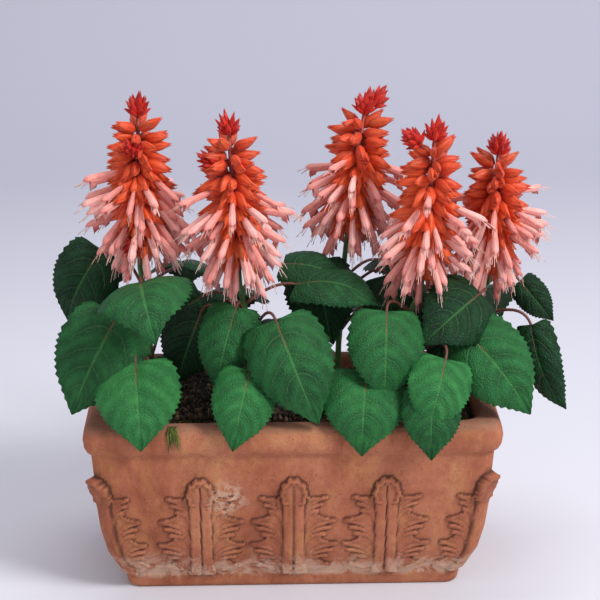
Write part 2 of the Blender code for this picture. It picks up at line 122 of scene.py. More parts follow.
def add(tree, kind, settings=None, *values, **sockets):
    """Adds a node. settings are its own properties, with stops for a ramp's (place, colour) pairs; a word
    alone is its operation. Its sockets are then filled."""
    node = tree.nodes.new(kind)
    settings = {"operation": settings} if isinstance(settings, str) else settings or {}
    for name, value in settings.items():
        if name == "stops":
            ramp = node.color_ramp.elements
            while len(ramp) < len(value):
                ramp.new(1.0)
            for stop, (place, colour) in zip(ramp, value):
                stop.position = place
                stop.color = linear(colour) if isinstance(colour, str) else (colour, colour, colour, 1)
        else:
            setattr(node, name, value)
    fill(tree, node, *values, **sockets)
    return node


def fill(tree, node, *values, **sockets):
    """Fills a node's sockets: those in use in order by values, or by name. Each takes a node or a node's
    socket as a link, a hex colour or a plain value."""
    filled = list(zip([socket for socket in node.inputs if socket.enabled], values))
    filled += [(node.inputs[name.replace("_", " ")], value) for name, value in sockets.items()]
    for socket, value in filled:
        if isinstance(value, bpy.types.Node):
            value = next(output for output in value.outputs if output.enabled)
        if isinstance(value, bpy.types.NodeSocket):
            tree.links.new(value, socket)
        else:
            is_colour = isinstance(value, str) and value.startswith("#")
            socket.default_value = linear(value) if is_colour else value


def new_material(name, **shader_values):
    """A material, with its tree, its Principled shader and the place on the object that patterns read."""
    material = bpy.data.materials.new(name)
    material.use_nodes = True
    tree = material.node_tree
    shader = tree.nodes["Principled BSDF"]
    fill(tree, shader, **shader_values)
    return material, tree, shader, add(tree, "ShaderNodeTexCoord").outputs["Object"]


def mottled_tone(tree, where, clouds_per_metre, detail, strength):
    """Each part's own tone, from 0 to 1, with clouds over it."""
    tone = add(tree, MARK, {"attribute_name": "tone"}).outputs["Fac"]
    clouds = add(tree, NOISE, Vector=where, Scale=clouds_per_metre, Detail=detail, Roughness=0.55)
    return add(tree, MATHS, "MULTIPLY_ADD", add(tree, MATHS, "SUBTRACT", clouds, 0.5), strength, tone)


def fired_terracotta():
    """Unglazed earthenware, pressed in a mould and weathered: matt orange-brown clay with a fine gritty
    grain, ochre streaks, painted shade in the relief's hollows and pale lime bloom where damp has dried."""
    material, tree, shader, where = new_material("unglazed_terracotta", Roughness=0.88, IOR=1.45)
    height = add(tree, "ShaderNodeSeparateXYZ", None, where).outputs["Z"]
    # The clay's own colour changes over some 50 mm, and ochre and rosy clouds lie over it.
    streaked = add(tree, "ShaderNodeMapping", Vector=where, Scale=(1.0, 1.0, 0.4))
    firing = add(tree, NOISE, Vector=streaked, Scale=20.0, Detail=8.0, Roughness=0.68, Distortion=0.5)
    clays = [(0.34, "#904E33"), (0.46, "#AD6647"), (0.56, "#B87152"), (0.68, "#C4865C")]
    clay = add(tree, RAMP, {"stops": clays}, firing)
    clouds = add(tree, NOISE, Vector=streaked, Scale=45.0, Detail=8.0, Roughness=0.7, Distortion=0.4)
    ochre = add(tree, RAMP, {"stops": [(0.50, 0.0), (0.66, 0.40)]}, clouds)
    colour = add(tree, MIX, COLOURS, ochre, clay, "#C28B50")
    fine_clouds = add(tree, NOISE, Vector=where, Scale=110.0, Detail=8.0, Roughness=0.75)
    rosy = add(tree, RAMP, {"stops": [(0.47, 0.0), (0.64, 0.5)]}, fine_clouds)
    colour = add(tree, MIX, COLOURS, rosy, colour, "#9A533F")
    # Painted shade: the relief's hollows are darkened towards deep brown.
    hollow_shade = add(tree, MATHS, "MULTIPLY", add(tree, MARK, {"attribute_name": "hollow"}).outputs["Fac"], 0.9)
    colour = add(tree, MIX, COLOURS, hollow_shade, colour, "#40201A")
    # Lime bloom lies in ragged patches over the plinth and thins out upwards.
    below = add(tree, BAND, SMOOTH, height, 0.060, 0.020)
    above = add(tree, BAND, SMOOTH, height, 0.008, 0.018)
    low = add(tree, MATHS, "MULTIPLY", below, above)
    ragged = add(tree, NOISE, Vector=where, Scale=34.0, Detail=9.0, Roughness=0.75, Distortion=0.9)
    reach = add(tree, MATHS, "MULTIPLY_ADD", low, 0.13, ragged)
    bloom = add(tree, MATHS, "MULTIPLY", low, add(tree, RAMP, {"stops": [(0.55, 0.0), (0.64, 1.0)]}, reach))
    flecks = add(tree, NOISE, Vector=where, Scale=220.0, Detail=8.0, Roughness=0.8)
    spots = add(tree, RAMP, {"stops": [(0.65, 0.0), (0.69, 0.6)]}, flecks)
    # One splash of dried lime is beside the second leaf of the front.
    splash = add(tree, "ShaderNodeVectorMath", "DISTANCE", where, LIME_SPLASH)
    near = add(tree, BAND, SMOOTH, splash, 0.026, 0.006)
    blots = add(tree, NOISE, Vector=where, Scale=150.0, Detail=6.0, Roughness=0.7)
    dabs = add(tree, MATHS, "MULTIPLY", near, add(tree, RAMP, {"stops": [(0.46, 0.0), (0.53, 1.0)]}, blots))
    pale = add(tree, MATHS, "MAXIMUM", add(tree, MATHS, "MAXIMUM", bloom, spots), dabs)
    colour = add(tree, MIX, COLOURS, add(tree, MATHS, "MULTIPLY", pale, 0.66), colour, "#DCBBA2")
    # Dust and rain have greyed the rim's top.
    drift = add(tree, NOISE, Vector=where, Scale=100.0, Detail=6.0, Roughness=0.7)
    dust = add(tree, MATHS, "MULTIPLY", add(tree, BAND, SMOOTH, height, 0.181, 0.190), drift)
    colour = add(tree, MIX, COLOURS, add(tree, MATHS, "MULTIPLY", dust, 0.95), colour, "#7C6656")
    # The grit is really under 1 mm; it is drawn near 2 mm, as finer grains would not show.
    grit = add(tree, NOISE, Vector=where, Scale=500.0, Detail=3.0, Roughness=0.6)
    colour = add(
        tree, MIX, COLOURS, add(tree, RAMP, {"stops": [(0.28, 0.8), (0.37, 0.0)]}, grit), colour, "#4C2419"
    )
    sand = add(tree, NOISE, Vector=where, Scale=125.0, Detail=6.0, Roughness=0.7)
    silt = add(tree, NOISE, Vector=where, Scale=600.0, Detail=4.0, Roughness=0.7)
    bump = add(tree, BUMP, Strength=0.7, Distance=0.0011, Height=add(tree, MATHS, "ADD", silt, sand))
    fill(tree, shader, Base_Color=colour, Normal=bump)
    return material


def damp_compost():
    """Peat and bark compost: nearly black, crumbly and matt, a little browner where it has dried."""
    material, tree, shader, where = new_material("peat_compost", Roughness=0.97)
    crumbs = add(tree, NOISE, Vector=where, Scale=250.0, Detail=8.0, Roughness=0.75)
    colour = add(tree, RAMP, {"stops": [(0.34, "#0D0B0A"), (0.52, "#231C17"), (0.68, "#43372B")]}, crumbs)
    bump = add(tree, BUMP, Strength=1.0, Distance=0.003, Height=crumbs)
    fill(tree, shader, Base_Color=colour, Normal=bump)
    return material


def toned_material(name, stops, roughness=0.8):
    """Fibre, moss, bark, stem or thread: matt, and each part in its own tone of the stops' colours, with a
    mottle of 4 mm. Its real grain is finer than the 1.5 mm that is drawn, which is what still shows."""
    material, tree, shader, where = new_material(name, Roughness=roughness)
    colour = add(tree, RAMP, {"stops": stops}, mottled_tone(tree, where, 250.0, 4.0, 0.5))
    grain = add(tree, NOISE, Vector=where, Scale=670.0, Detail=4.0, Roughness=0.55)
    bump = add(tree, BUMP, Strength=0.3, Distance=0.0005, Height=grain)
    fill(tree, shader, Base_Color=colour, Normal=bump)
    return material


def salvia_leaf():
    """A living salvia leaf: thin, quilted between arching veins, satin on its upper face and paler below. Its
    UV map runs across the blade from edge to edge and along it from foot to tip."""
    material, tree, shader, where = new_material("salvia_leaf", Roughness=0.52, IOR=1.42)
    fill(tree, shader, Specular_IOR_Level=0.26)
    across, along = add(tree, "ShaderNodeSeparateXYZ", None, add(tree, "ShaderNodeUVMap")).outputs[:2]
    side = add(tree, MATHS, "ABSOLUTE", add(tree, MATHS, "MULTIPLY_ADD", across, 2.0, -1.0))
    # Side veins leave the midrib in pairs and arch towards the tip.
    arched = add(tree, MATHS, "MULTIPLY", add(tree, MATHS, "POWER", side, VEIN_ARCH), VEIN_RISE)
    phase = add(tree, MATHS, "MULTIPLY", add(tree, MATHS, "SUBTRACT", along, arched), VEIN_PAIRS)
    wander = add(tree, NOISE, Vector=where, Scale=50.0, Detail=4.0, Roughness=0.55)
    phase = add(tree, MATHS, "MULTIPLY_ADD", wander, 0.3, phase)
    saw = add(tree, MATHS, "ABSOLUTE", add(tree, MATHS, "SUBTRACT", add(tree, MATHS, "FRACT", phase), 0.5))
    crease, inner = add(tree, BAND, SMOOTH, saw, 0.43, 0.50), add(tree, BAND, SMOOTH, side, 1.0, 0.55)
    side_vein = add(tree, MATHS, "MULTIPLY", crease, inner)
    midrib = add(tree, BAND, SMOOTH, side, 0.055, 0.012)
    vein = add(tree, MATHS, "MAXIMUM", add(tree, MATHS, "MULTIPLY", side_vein, 0.7), midrib)
    # Painted shade and light: each field between two veins is darkest beside them and lightest on its crown.
    vein_crease_shade = add(tree, MATHS, "MULTIPLY", add(tree, MATHS, "SUBTRACT", 0.25, saw), 0.36)
    greens = [(0.0, "#0A2412"), (0.35, "#164522"), (0.7, "#276A34"), (1.0, "#408A49")]
    shade = add(tree, MATHS, "ADD", mottled_tone(tree, where, 62.0, 6.0, 0.55), vein_crease_shade)
    green = add(tree, RAMP, {"stops": greens}, shade)
    colour = add(tree, MIX, COLOURS, add(tree, MATHS, "MULTIPLY", vein, 0.34), green, "#589350")
    flush = add(tree, MATHS, "MULTIPLY", add(tree, BAND, SMOOTH, along, 0.30, 0.02), midrib)
    colour = add(tree, MIX, COLOURS, add(tree, MATHS, "MULTIPLY", flush, 0.85), colour, "#6A3A2B")
    under = add(tree, MARK, {"attribute_name": "under"}).outputs["Fac"]
    colour = add(tree, MIX, COLOURS, add(tree, MATHS, "MULTIPLY", under, 0.4), colour, "#527A56")
    # The net of small veins is drawn some 2.6 mm wide, twice the real one's mesh, so that it shows.
    net = add(tree, "ShaderNodeTexVoronoi", {"feature": "DISTANCE_TO_EDGE"}, Vector=where, Scale=380.0)
    pillows = add(tree, MATHS, "MULTIPLY_ADD", net, 3.5, add(tree, MATHS, "MULTIPLY", vein, -1.8))
    dimples = add(tree, NOISE, Vector=where, Scale=165.0, Detail=5.0, Roughness=0.55)
    relief = add(tree, MATHS, "MULTIPLY_ADD", dimples, 0.9, pillows)
    bump = add(tree, BUMP, Strength=0.6, Distance=0.0008, Height=relief)
    fill(tree, shader, Base_Color=colour, Normal=bump)
    return material


def petal_material(name, along_stops, tone_stops, streak_colour, roughness, sheen):
    """A salvia's thin petal or calyx skin: soft and velvety, as light sinks into it. Its colour runs along it
    from its foot to its mouth, leans to each flower's own tone, and has streaks lengthways, which are drawn
    twice as wide as the real veins, so that they show. Its UV map runs round it and along it."""
    material, tree, shader, where = new_material(name, Roughness=roughness, IOR=1.4, Specular_IOR_Level=0.4)
    fill(tree, shader, Sheen_Weight=sheen, Sheen_Roughness=0.45)
    fill(tree, shader, Subsurface_Weight=0.10, Subsurface_Scale=0.002, Subsurface_Radius=(1.0, 0.35, 0.2))
    around, along = add(tree, "ShaderNodeSeparateXYZ", None, add(tree, "ShaderNodeUVMap")).outputs[:2]
    toned = add(tree, RAMP, {"stops": tone_stops}, mottled_tone(tree, where, 200.0, 4.0, 0.9))
    colour = add(tree, MIX, COLOURS, 0.55, add(tree, RAMP, {"stops": along_stops}, along), toned)
    wave = add(tree, MATHS, "SINE", add(tree, MATHS, "MULTIPLY", around, PETAL_STREAKS * math.pi))
    lines = add(tree, MATHS, "ABSOLUTE", wave)
    narrow = add(tree, MATHS, "POWER", add(tree, MATHS, "SUBTRACT", 1.0, lines), 3.0)
    colour = add(tree, MIX, COLOURS, add(tree, MATHS, "MULTIPLY", narrow, 0.6), colour, streak_colour)
    grain = add(tree, NOISE, Vector=where, Scale=830.0, Detail=4.0, Roughness=0.55)
    bump = add(tree, BUMP, Strength=0.5, Distance=0.0006, Height=add(tree, MATHS, "ADD", lines, grain))
    fill(tree, shader, Base_Color=colour, Normal=bump)
    return material


# Mesh helpers


def skin(points, uv=None, marks=None):
    """A closed tube-like skin through rings of points, shape (rings, points round, 3), capped at both ends.
    uv has one more column than points, so that the last column closes on the first."""
    rings, count = points.shape[:2]
    if uv is None:
        around, along = np.meshgrid(np.linspace(0, 1, count + 1), np.linspace(0, 1, rings))
        uv = np.stack([around, along], -1)
    i, j = np.meshgrid(np.arange(rings - 1), np.arange(count), indexing="ij")
    k = (j + 1) % count
    quads = np.stack([i * count + j, i * count + k, (i + 1) * count + k, (i + 1) * count + j], -1)
    corners = np.stack([uv[i, j], uv[i, j + 1], uv[i + 1, j + 1], uv[i + 1, j]], 2).reshape(-1, 2)
    faces = quads.reshape(-1, 4).tolist()
    faces += [list(range(count))[::-1], [(rings - 1) * count + n for n in range(count)]]
    corners = np.concatenate([corners, uv[0, :count][::-1], uv[-1, :count]])
    marks = {name: np.broadcast_to(value, (rings, count)).ravel() for name, value in (marks or {}).items()}
    return {"points": points.reshape(-1, 3), "faces": faces, "corners": corners, "marks": marks}


def moved(part, matrix):
    """A copy of a part, placed by a matrix."""
    turn = np.array(matrix.to_3x3())
    return {**part, "points": part["points"] @ turn.T + np.array(matrix.translation)}


def joined(parts):
    """Several parts as one, with every mark that any of them has."""
    starts = np.cumsum([0] + [len(part["points"]) for part in parts]).tolist()
    marks = {}
    for name in sorted({name for part in parts for name in part["marks"]}):
        values = [part["marks"].get(name, np.zeros(len(part["points"]))) for part in parts]
        marks[name] = np.concatenate(values)
    return {
        "points": np.concatenate([part["points"] for part in parts]),
        "faces": [[start + n for n in face] for start, part in zip(starts, parts) for face in part["faces"]],
        "corners": np.concatenate([part["corners"] for part in parts]),
        "marks": marks,
    }


def mesh_from(name, parts, material=None):
    """One mesh object of many parts, with their UV map and marks."""
    whole = joined(parts)
    mesh = bpy.data.meshes.new(name)
    mesh.from_pydata(whole["points"].tolist(), [], whole["faces"])
    mesh.uv_layers.new(name="UVMap").data.foreach_set("uv", whole["corners"].ravel())
    for mark, values in whole["marks"].items():
        mesh.attributes.new(mark, "FLOAT", "POINT").data.foreach_set("value", values)
    mesh.shade_smooth()
    if material:
        mesh.materials.append(material)
    return placed(name, mesh)


def tube(points, radii, sides=8, square=0.0, **marks):
    """A round stalk along the points. square pinches its section towards a mint stem's four corners."""
    line = np.array([tuple(p) for p in points])
    ahead = np.gradient(line, axis=0)
    ahead /= np.linalg.norm(ahead, axis=1)[:, None]
    guide = np.array([0.0, 1.0, 0.0]) if abs(ahead[0][1]) < 0.8 else np.array([1.0, 0.0, 0.0])
    rings = []
    for centre, way, radius in zip(line, ahead, np.broadcast_to(radii, len(line))):
        first = np.cross(guide, way)
        first /= np.linalg.norm(first)
        second = np.cross(way, first)
        guide = second
        turn = np.arange(sides) * 2 * math.pi / sides
        reach = radius * (1 + square * np.cos(4 * turn))
        spokes = np.stack([reach * np.cos(turn), reach * np.sin(turn)], 1)
        rings.append(centre + spokes @ np.stack([first, second]))
    return skin(np.array(rings), marks=marks)


def vector_mm(numbers):
    """A vector in metres, from millimetres."""
    return Vector(numbers) * MM


def bezier(start, middle, end, count):
    """Points of a quadratic curve."""
    shares = [i / (count - 1) for i in range(count)]
    return [start * (1 - t) ** 2 + middle * 2 * t * (1 - t) + end * t * t for t in shares]


def settle(obj, nodes):
    """Attaches a finished piece to the root body, and hides the CAD nodes that it stands for."""
    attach(obj, "root")
    if nodes:
        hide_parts(*nodes)


def run_nodes(obj, tree, values, name):
    """What a Geometry Nodes tree makes of an object, as a plain mesh object; the first object is removed. The
    tree's inputs are set by name, through their identifiers."""
    modifier = obj.modifiers.new("growth", "NODES")
    modifier.node_group = tree
    for item in tree.interface.items_tree:
        if item.item_type == "SOCKET" and item.in_out == "INPUT" and item.name in values:
            modifier[item.identifier] = values[item.name]
    bpy.context.view_layer.update()
    graph = bpy.context.evaluated_depsgraph_get()
    mesh = bpy.data.meshes.new_from_object(obj.evaluated_get(graph))
    bpy.data.objects.remove(obj)
    return placed(name, mesh)


# The trough

RIM_LENGTH = 400 * MM
RIM_WIDTH = 190 * MM
OUTER_PROFILE = [
    (36.0, 0), (34.0, 2), (31.5, 18), (27.0, 28), (19.5, 46), (15.0, 72), (10.5, 108), (7.0, 146),
    (6.0, 160), (2.4, 163), (0.6, 168), (0.0, 176), (1.4, 184), (5.0, 189), (8.0, 190),
]
INNER_PROFILE = [
    (16.0, 190), (18.5, 188), (21.5, 178), (22.0, 150), (27.0, 108), (34.0, 70), (44.0, 26), (50.0, 15),
]
OUTER_CORNER = 14 * MM
INNER_CORNER = 24 * MM
RELIEF_FOOT = 19.0
RELIEF_PITCH = 90.0
RELIEF_TOP = 137.0
WALL_CELL = 1.4
FOOT_ROWS = [0.0, 0.7, 2.0, 6, 10, 14, 16, 17.2]
RIM_ROWS = [
    138, 144, 152, 158, 160, 161.2, 162.2, 163, 164.5, 166, 168, 170, 173, 176, 179, 182, 184, 186,
    187.6, 189, 189.7, 190,
]
INNER_ROWS = [190, 189.4, 188, 185, 182, 178, 170, 150, 108, 70, 26, 15]
LONG_STRAIGHT = 340
SHORT_STRAIGHT = 130
CORNER_COLUMNS = 8

# The acanthus, in millimetres: half its outline from foot to head, as (sideways, height), with its
# lobes' pointed tips at the outer corners, then the panel up its middle and its hooded head.
ACANTHUS_HALF = [
    (10, -1), (20, 0), (30, 4), (37, 11), (30, 13), (26, 17), (26, 22), (31, 28), (36, 33), (42, 40),
    (34, 41), (28, 44), (26, 49), (27, 54), (33, 60), (40, 68), (31, 70), (24, 73), (21, 78), (23, 83),
    (28, 88), (33, 95), (24, 94), (16, 93), (12, 98), (0, 98), (0, -1),
]
LOBE_TIPS = [(37, 11), (42, 40), (40, 68), (33, 95)]
FINGERS = 3
RIB_RISE = 0.8
RIB_HALF = 1.25
FINGER_RISE = 2.2
FINGER_HALF = 2.7
TIP_RISE = 1.6
PANEL_HALF_WIDTH = 11.0
PANEL_RISE = 3.3
HEAD_HEIGHT = 98.0
HEAD_HALF = 13.5
HEAD_TALL = 18.0
SPINE_STEPS = 16


def edge_distance(x, y, outline):
    """How far each place is inside the outline (negative outside), and how much the nearest edge looks up."""
    nearest = np.full_like(x, 1e9)
    upward = np.zeros_like(x)
    inside = np.zeros(x.shape, bool)
    for (x0, y0), (x1, y1) in zip(outline, outline[1:] + outline[:1]):
        run, climb = x1 - x0, y1 - y0
        if y0 != y1:
            inside ^= ((y0 > y) != (y1 > y)) & (x < run * (y - y0) / climb + x0)
        share = np.clip(((x - x0) * run + (y - y0) * climb) / (run * run + climb * climb), 0, 1)
        away = np.hypot(x - x0 - share * run, y - y0 - share * climb)
        if x0 > 0.5 or x1 > 0.5:
            closer = away < nearest
            nearest = np.where(closer, away, nearest)
            upward = np.where(closer, -run / math.hypot(run, climb), upward)
    return np.where(inside, nearest, -nearest), upward


def lobe_relief(x, height):
    """The lobes: their ground, their curled upper edges, and the ribs that end in round fingers."""
    depth, upward = edge_distance(x, height, ACANTHUS_HALF)
    inside = depth > 0
    # Lower edges sink softly into the wall. Upper edges curl forward, and the leaf is hollow behind them.
    soft = 0.8 + 4.2 * np.clip(0.3 - upward, 0, 1)
    curl = np.clip(upward, 0, 1) * 2.8 + 0.2
    rise = np.where(inside, 0.9 * np.clip(depth / soft, 0, 1), 0.0)
    rise = rise + np.where(inside, curl * np.exp(-depth / 2.6) * np.clip(depth / 0.9, 0, 1), 0.0)
    for tip_x, tip_h in LOBE_TIPS:
        for step in range(FINGERS):
            start = np.array([9.0, tip_h - 30.0 - 5 * step])
            lift = np.array([12.0, tip_h - 6.0 - 5 * step])
            end = np.array([tip_x - 1.5 - 4.5 * step, tip_h - 2.0 - 8.0 * step])
            rib = np.full_like(x, 1e9)
            finger = np.full_like(x, 1e9)
            for t in np.linspace(0.1, 1, SPINE_STEPS):
                spot = start * (1 - t) ** 2 + lift * 2 * t * (1 - t) + end * t * t
                away = np.hypot(x - spot[0], height - spot[1])
                rib = np.minimum(rib, away)
                finger = np.minimum(finger, away) if t > 0.6 else finger
            rise = rise + np.where(inside, RIB_RISE * np.exp(-((rib / RIB_HALF) ** 2)), 0.0)
            rounded = FINGER_RISE * np.sqrt(np.clip(1 - (finger / FINGER_HALF) ** 2, 0, 1))
            rise = np.maximum(rise, rounded * (end[1] > 3))
        tip = np.hypot(x - tip_x, height - tip_h) / 5.0
        rise = rise + np.where(inside, TIP_RISE * np.exp(-(tip**2)), 0.0)
    return rise


def panel_relief(x, height):
    """The flat panel up the middle: wider at its foot, with an incised line."""
    half = PANEL_HALF_WIDTH + 3.0 * np.clip((22 - height) / 22, 0, 1) ** 2
    here = (height > -2) & (height < HEAD_HEIGHT + 4)
    panel = (PANEL_RISE + 0.6 * np.clip(1 - (x / half) ** 2, 0, 1)) * np.clip((half - x) / 1.2, 0, 1) * here
    incised = 0.8 + 0.9 * np.clip((20 - height) / 20, 0, 1)
    return panel - 2.4 * np.exp(-((x / incised) ** 2)) * (panel > 0)


def hood_relief(x, height):
    """The head: an arched hood with a scalloped, raised border."""
    turn = np.arctan2((height - HEAD_HEIGHT) / HEAD_TALL, x / HEAD_HALF)
    spread = np.hypot(x / HEAD_HALF, (height - HEAD_HEIGHT) / HEAD_TALL) / (1 + 0.05 * np.cos(10 * turn))
    hood = (3.6 + 2.0 * np.exp(-(((spread - 0.86) / 0.16) ** 2))) * np.clip((1 - spread) / 0.07, 0, 1)
    hood = hood - 1.6 * np.exp(-((x / 0.8) ** 2)) * (height < HEAD_HEIGHT + 10)
    return hood * (height > HEAD_HEIGHT - 12)


def acanthus_relief(side, height):
    """How far the acanthus leaf stands out of the wall, in millimetres, at arrays of places on it."""
    x = np.abs(side) + 0.02
    shapes = [lobe_relief(x, height), panel_relief(x, height), hood_relief(x, height)]
    return np.maximum.reduce(shapes)


def interpolated(profile, heights):
    """The profile's inset at each height, both in millimetres, for a profile that rises."""
    return np.interp(heights, [z for _, z in profile], [inset for inset, _ in profile])


def inner_inset(height):
    """The inner wall's inset, in metres, at a height in millimetres."""
    return interpolated(INNER_PROFILE[::-1], height) * MM


def wall_columns(cell):
    """The outer wall's columns: (place, share along it), where place counts the faces and corners
    anticlockwise from the front and the share runs from -1 to 1."""
    columns = []
    for place in range(8):
        straight = LONG_STRAIGHT if place % 4 == 0 else SHORT_STRAIGHT
        count = CORNER_COLUMNS if place % 2 else int(straight / cell)
        columns += [(place, -1 + 2 * (n + 0.5) / count) for n in range(count)]
    return columns


def ring_points(columns, inset, height, corner, rise=0.0):
    """Points round the trough at one inset and height, pushed outwards by rise."""
    half_x = RIM_LENGTH / 2 - inset - corner
    half_y = RIM_WIDTH / 2 - inset - corner
    points = []
    for (place, share), push in zip(columns, np.broadcast_to(rise, len(columns))):
        turn = math.radians(45 * place - 90 + (45 * share if place % 2 else 0))
        out = np.array([math.cos(turn), math.sin(turn), 0.0])
        if place % 2:
            sign_x, sign_y = [(1, -1), (1, 1), (-1, 1), (-1, -1)][place // 2]
            spot = np.array([sign_x * half_x, sign_y * half_y, height]) + out * corner
        else:
            reach, side = (half_y, half_x) if place % 4 == 0 else (half_x, half_y)
            spot = out * (reach + corner) + np.array([-out[1], out[0], 0]) * side * share
            spot[2] = height
        points.append(spot + out * push)
    return np.array(points)


def relief_row(columns, inset, height):
    """The relief's rise along one row of the wall, in metres."""
    half = {0: RIM_LENGTH / 2 - inset - OUTER_CORNER, 2: RIM_WIDTH / 2 - inset - OUTER_CORNER}
    arc = math.pi * OUTER_CORNER / 2
    face_side, corner_side = [], []
    for place, share in columns:
        if place % 2:
            face_side.append(1e3)
            corner_side.append(share * arc / 2 / MM)
        else:
            straight = half[place % 4]
            face_side.append(share * straight / MM)
            corner_side.append((straight * (1 - abs(share)) + arc / 2) / MM)
    face_side, corner_side = np.array(face_side), np.array(corner_side)
    long_face = np.array([place % 4 == 0 for place, _ in columns])
    above = np.full(len(columns), height / MM - RELIEF_FOOT)
    rise = acanthus_relief(corner_side / 0.85, above)
    for offset in (-RELIEF_PITCH, 0.0, RELIEF_PITCH):
        rise = np.maximum(rise, acanthus_relief(face_side - offset, above) * long_face)
    rise = np.maximum(rise, acanthus_relief(face_side / 0.75, above) * ~long_face)
    hooked = np.clip((above - 84) / 32, 0, 1) * (np.abs(corner_side) < 14)
    return (rise + hooked * 5.0 * (rise > 0.5)) * MM


def make_trough(material):
    """The pot, pressed with acanthus leaves on every side, from one skin that goes down the inside."""
    columns = wall_columns(WALL_CELL)
    wobble = random.Random(3)
    rings, rises = [], []
    for height in [*FOOT_ROWS, *np.arange(FOOT_ROWS[-1] + 1, RELIEF_TOP, WALL_CELL), *RIM_ROWS]:
        inset = interpolated(OUTER_PROFILE, height) * MM
        rise = np.zeros(len(columns))
        if RELIEF_FOOT - 2 < height < RELIEF_TOP:
            rise = relief_row(columns, inset, height * MM)
        uneven = 0.35 * MM * math.sin(height * 0.11) + wobble.uniform(-0.06, 0.06) * MM
        rings.append(ring_points(columns, inset, height * MM, OUTER_CORNER, rise + uneven))
        rises.append(rise)
    for height in INNER_ROWS:
        rings.append(ring_points(columns, inner_inset(height), height * MM, INNER_CORNER))
        rises.append(np.zeros(len(columns)))
    # Painted shade: the places where the relief is lower than what is round it are marked, to be darkened.
    rise = np.array(rises) / MM
    blurred = rise
    for _ in range(2):
        blurred = sum(np.roll(blurred, step, axis) for axis in (1, 0) for step in (1, -1)) / 4
    hollow_shade = np.clip((blurred - rise) * 1.5, 0, 1)
    trough = mesh_from("terracotta_trough", [skin(np.array(rings), marks={"hollow": hollow_shade})], material)
    settle(trough, ["trough"])


# The compost

SOIL_EDGE = 172 * MM
SOIL_MOUND = 11 * MM
SOIL_RINGS = 34
BED_CELL = 3.0
WHOLE_BED = ((-168, 168), (-66, 66))
PATCH_STEPS = 6
SHAPES_OF_A_KIND = 6
TRAIL_THREADS = 40
TRAIL_X = -114


def compost_height(x, y, level):
    """The crumbly surface: a little lump on each scale, from fixed sine waves."""
    lumps = np.sin(x * 310 + 1.3 * np.sin(y * 270)) * np.sin(y * 350 + 1.1 * np.sin(x * 230))
    crumbs = np.sin(x * 1250 + 2 * np.sin(y * 900)) * np.sin(y * 1150 + 2 * np.sin(x * 1050))
    return level + lumps * 1.4 * MM + crumbs * 0.8 * MM


def make_compost(material):
    """The compost bed: the CAD bed's outline below, and a lumpy mound on top."""
    columns = wall_columns(BED_CELL)
    rings = []
    for height in (15.3, 26, 70, 108, 150):
        rings.append(ring_points(columns, inner_inset(height) + 0.5 * MM, height * MM, INNER_CORNER))
    edge = ring_points(columns, 22.2 * MM, SOIL_EDGE, INNER_CORNER)
    for share in np.linspace(1.0, 0.02, SOIL_RINGS):
        mound = SOIL_MOUND * (1 - max(0.0, share - 0.35) ** 2 / 0.65**2)
        ring = edge * np.array([share, share, 1.0])
        ring[:, 2] = compost_height(ring[:, 0], ring[:, 1], SOIL_EDGE + mound - 1.5 * MM)
        rings.append(ring)
    settle(mesh_from("compost_bed", [skin(np.array(rings))], material), ["compost"])


def growth_tree(name, **inputs):
    """A Geometry Nodes tree with a mesh in and out, and these inputs by name and type."""
    tree = bpy.data.node_groups.new(name, "GeometryNodeTree")
    for label, kind in {"Geometry": "Geometry", **inputs}.items():
        tree.interface.new_socket(label, in_out="INPUT", socket_type="NodeSocket" + kind)
    tree.interface.new_socket("Geometry", in_out="OUTPUT", socket_type="NodeSocketGeometry")
    return tree, add(tree, "NodeGroupInput").outputs, add(tree, "NodeGroupOutput")


def shapes_on_points(tree, spots, shapes, which, turn, size):
    """One of a collection's shapes on each point, turned and sized."""
    chosen = add(
        tree, "GeometryNodeCollectionInfo", Collection=shapes, Separate_Children=True, Reset_Children=True
    )
    return add(
        tree, "GeometryNodeInstanceOnPoints", Points=spots, Instance=chosen, Pick_Instance=True,
        Instance_Index=which, Rotation=add(tree, "FunctionNodeEulerToRotation", None, turn), Scale=size,
    )


def finish_tree(tree, instances, finish, result):
    """Ends a tree: its instances become real mesh and take their material."""
    real = add(tree, "GeometryNodeRealizeInstances", Geometry=instances)
    fill(tree, result, add(tree, "GeometryNodeSetMaterial", Geometry=real, Material=finish))


def litter_tree():
    """Scatters small shapes over a surface, each turned and sized by chance."""
    tree, given, result = growth_tree(
        "litter_on_compost", Shapes="Collection", Density="Float", Smallest="Float", Largest="Float",
        Lean="Float", Seed="Int", Finish="Material",
    )
    spots = add(
        tree, "GeometryNodeDistributePointsOnFaces", Mesh=given["Geometry"], Density=given["Density"],
        Seed=given["Seed"],
    )
    lean = given["Lean"]
    low = add(tree, MATHS, "MULTIPLY", lean, -1.0)
    least = add(tree, "ShaderNodeCombineXYZ", None, low, low, 0.0)
    most = add(tree, "ShaderNodeCombineXYZ", None, lean, lean, 2 * math.pi)
    turn = add(tree, CHANCE, {"data_type": "FLOAT_VECTOR"}, least, most)
    size = add(tree, CHANCE, DECIMAL, given["Smallest"], given["Largest"])
    which = add(tree, CHANCE, {"data_type": "INT"}, 0, SHAPES_OF_A_KIND - 1)
    grown = shapes_on_points(tree, spots, given["Shapes"], which, turn, size)
    toned = add(
        tree, "GeometryNodeStoreNamedAttribute", {"data_type": "FLOAT", "domain": "INSTANCE"}, Geometry=grown,
        Name="tone", Value=add(tree, CHANCE, DECIMAL, 0.0, 1.0, Seed=9),
    )
    finish_tree(tree, toned, given["Finish"], result)
    return tree


def shape_collection(name, parts):
    """Shapes for a tree to grow, in a collection that is not in the scene."""
    holder = bpy.data.collections.new(name)
    for n, part in enumerate(parts):
        obj = mesh_from(f"{name}_{n:02d}", [part])
        bpy.context.scene.collection.objects.unlink(obj)
        holder.objects.link(obj)
    return holder


def clear_collection(holder):
    """Removes shapes that have all been grown."""
    for obj in list(holder.objects):
        bpy.data.objects.remove(obj)
    bpy.data.collections.remove(holder)


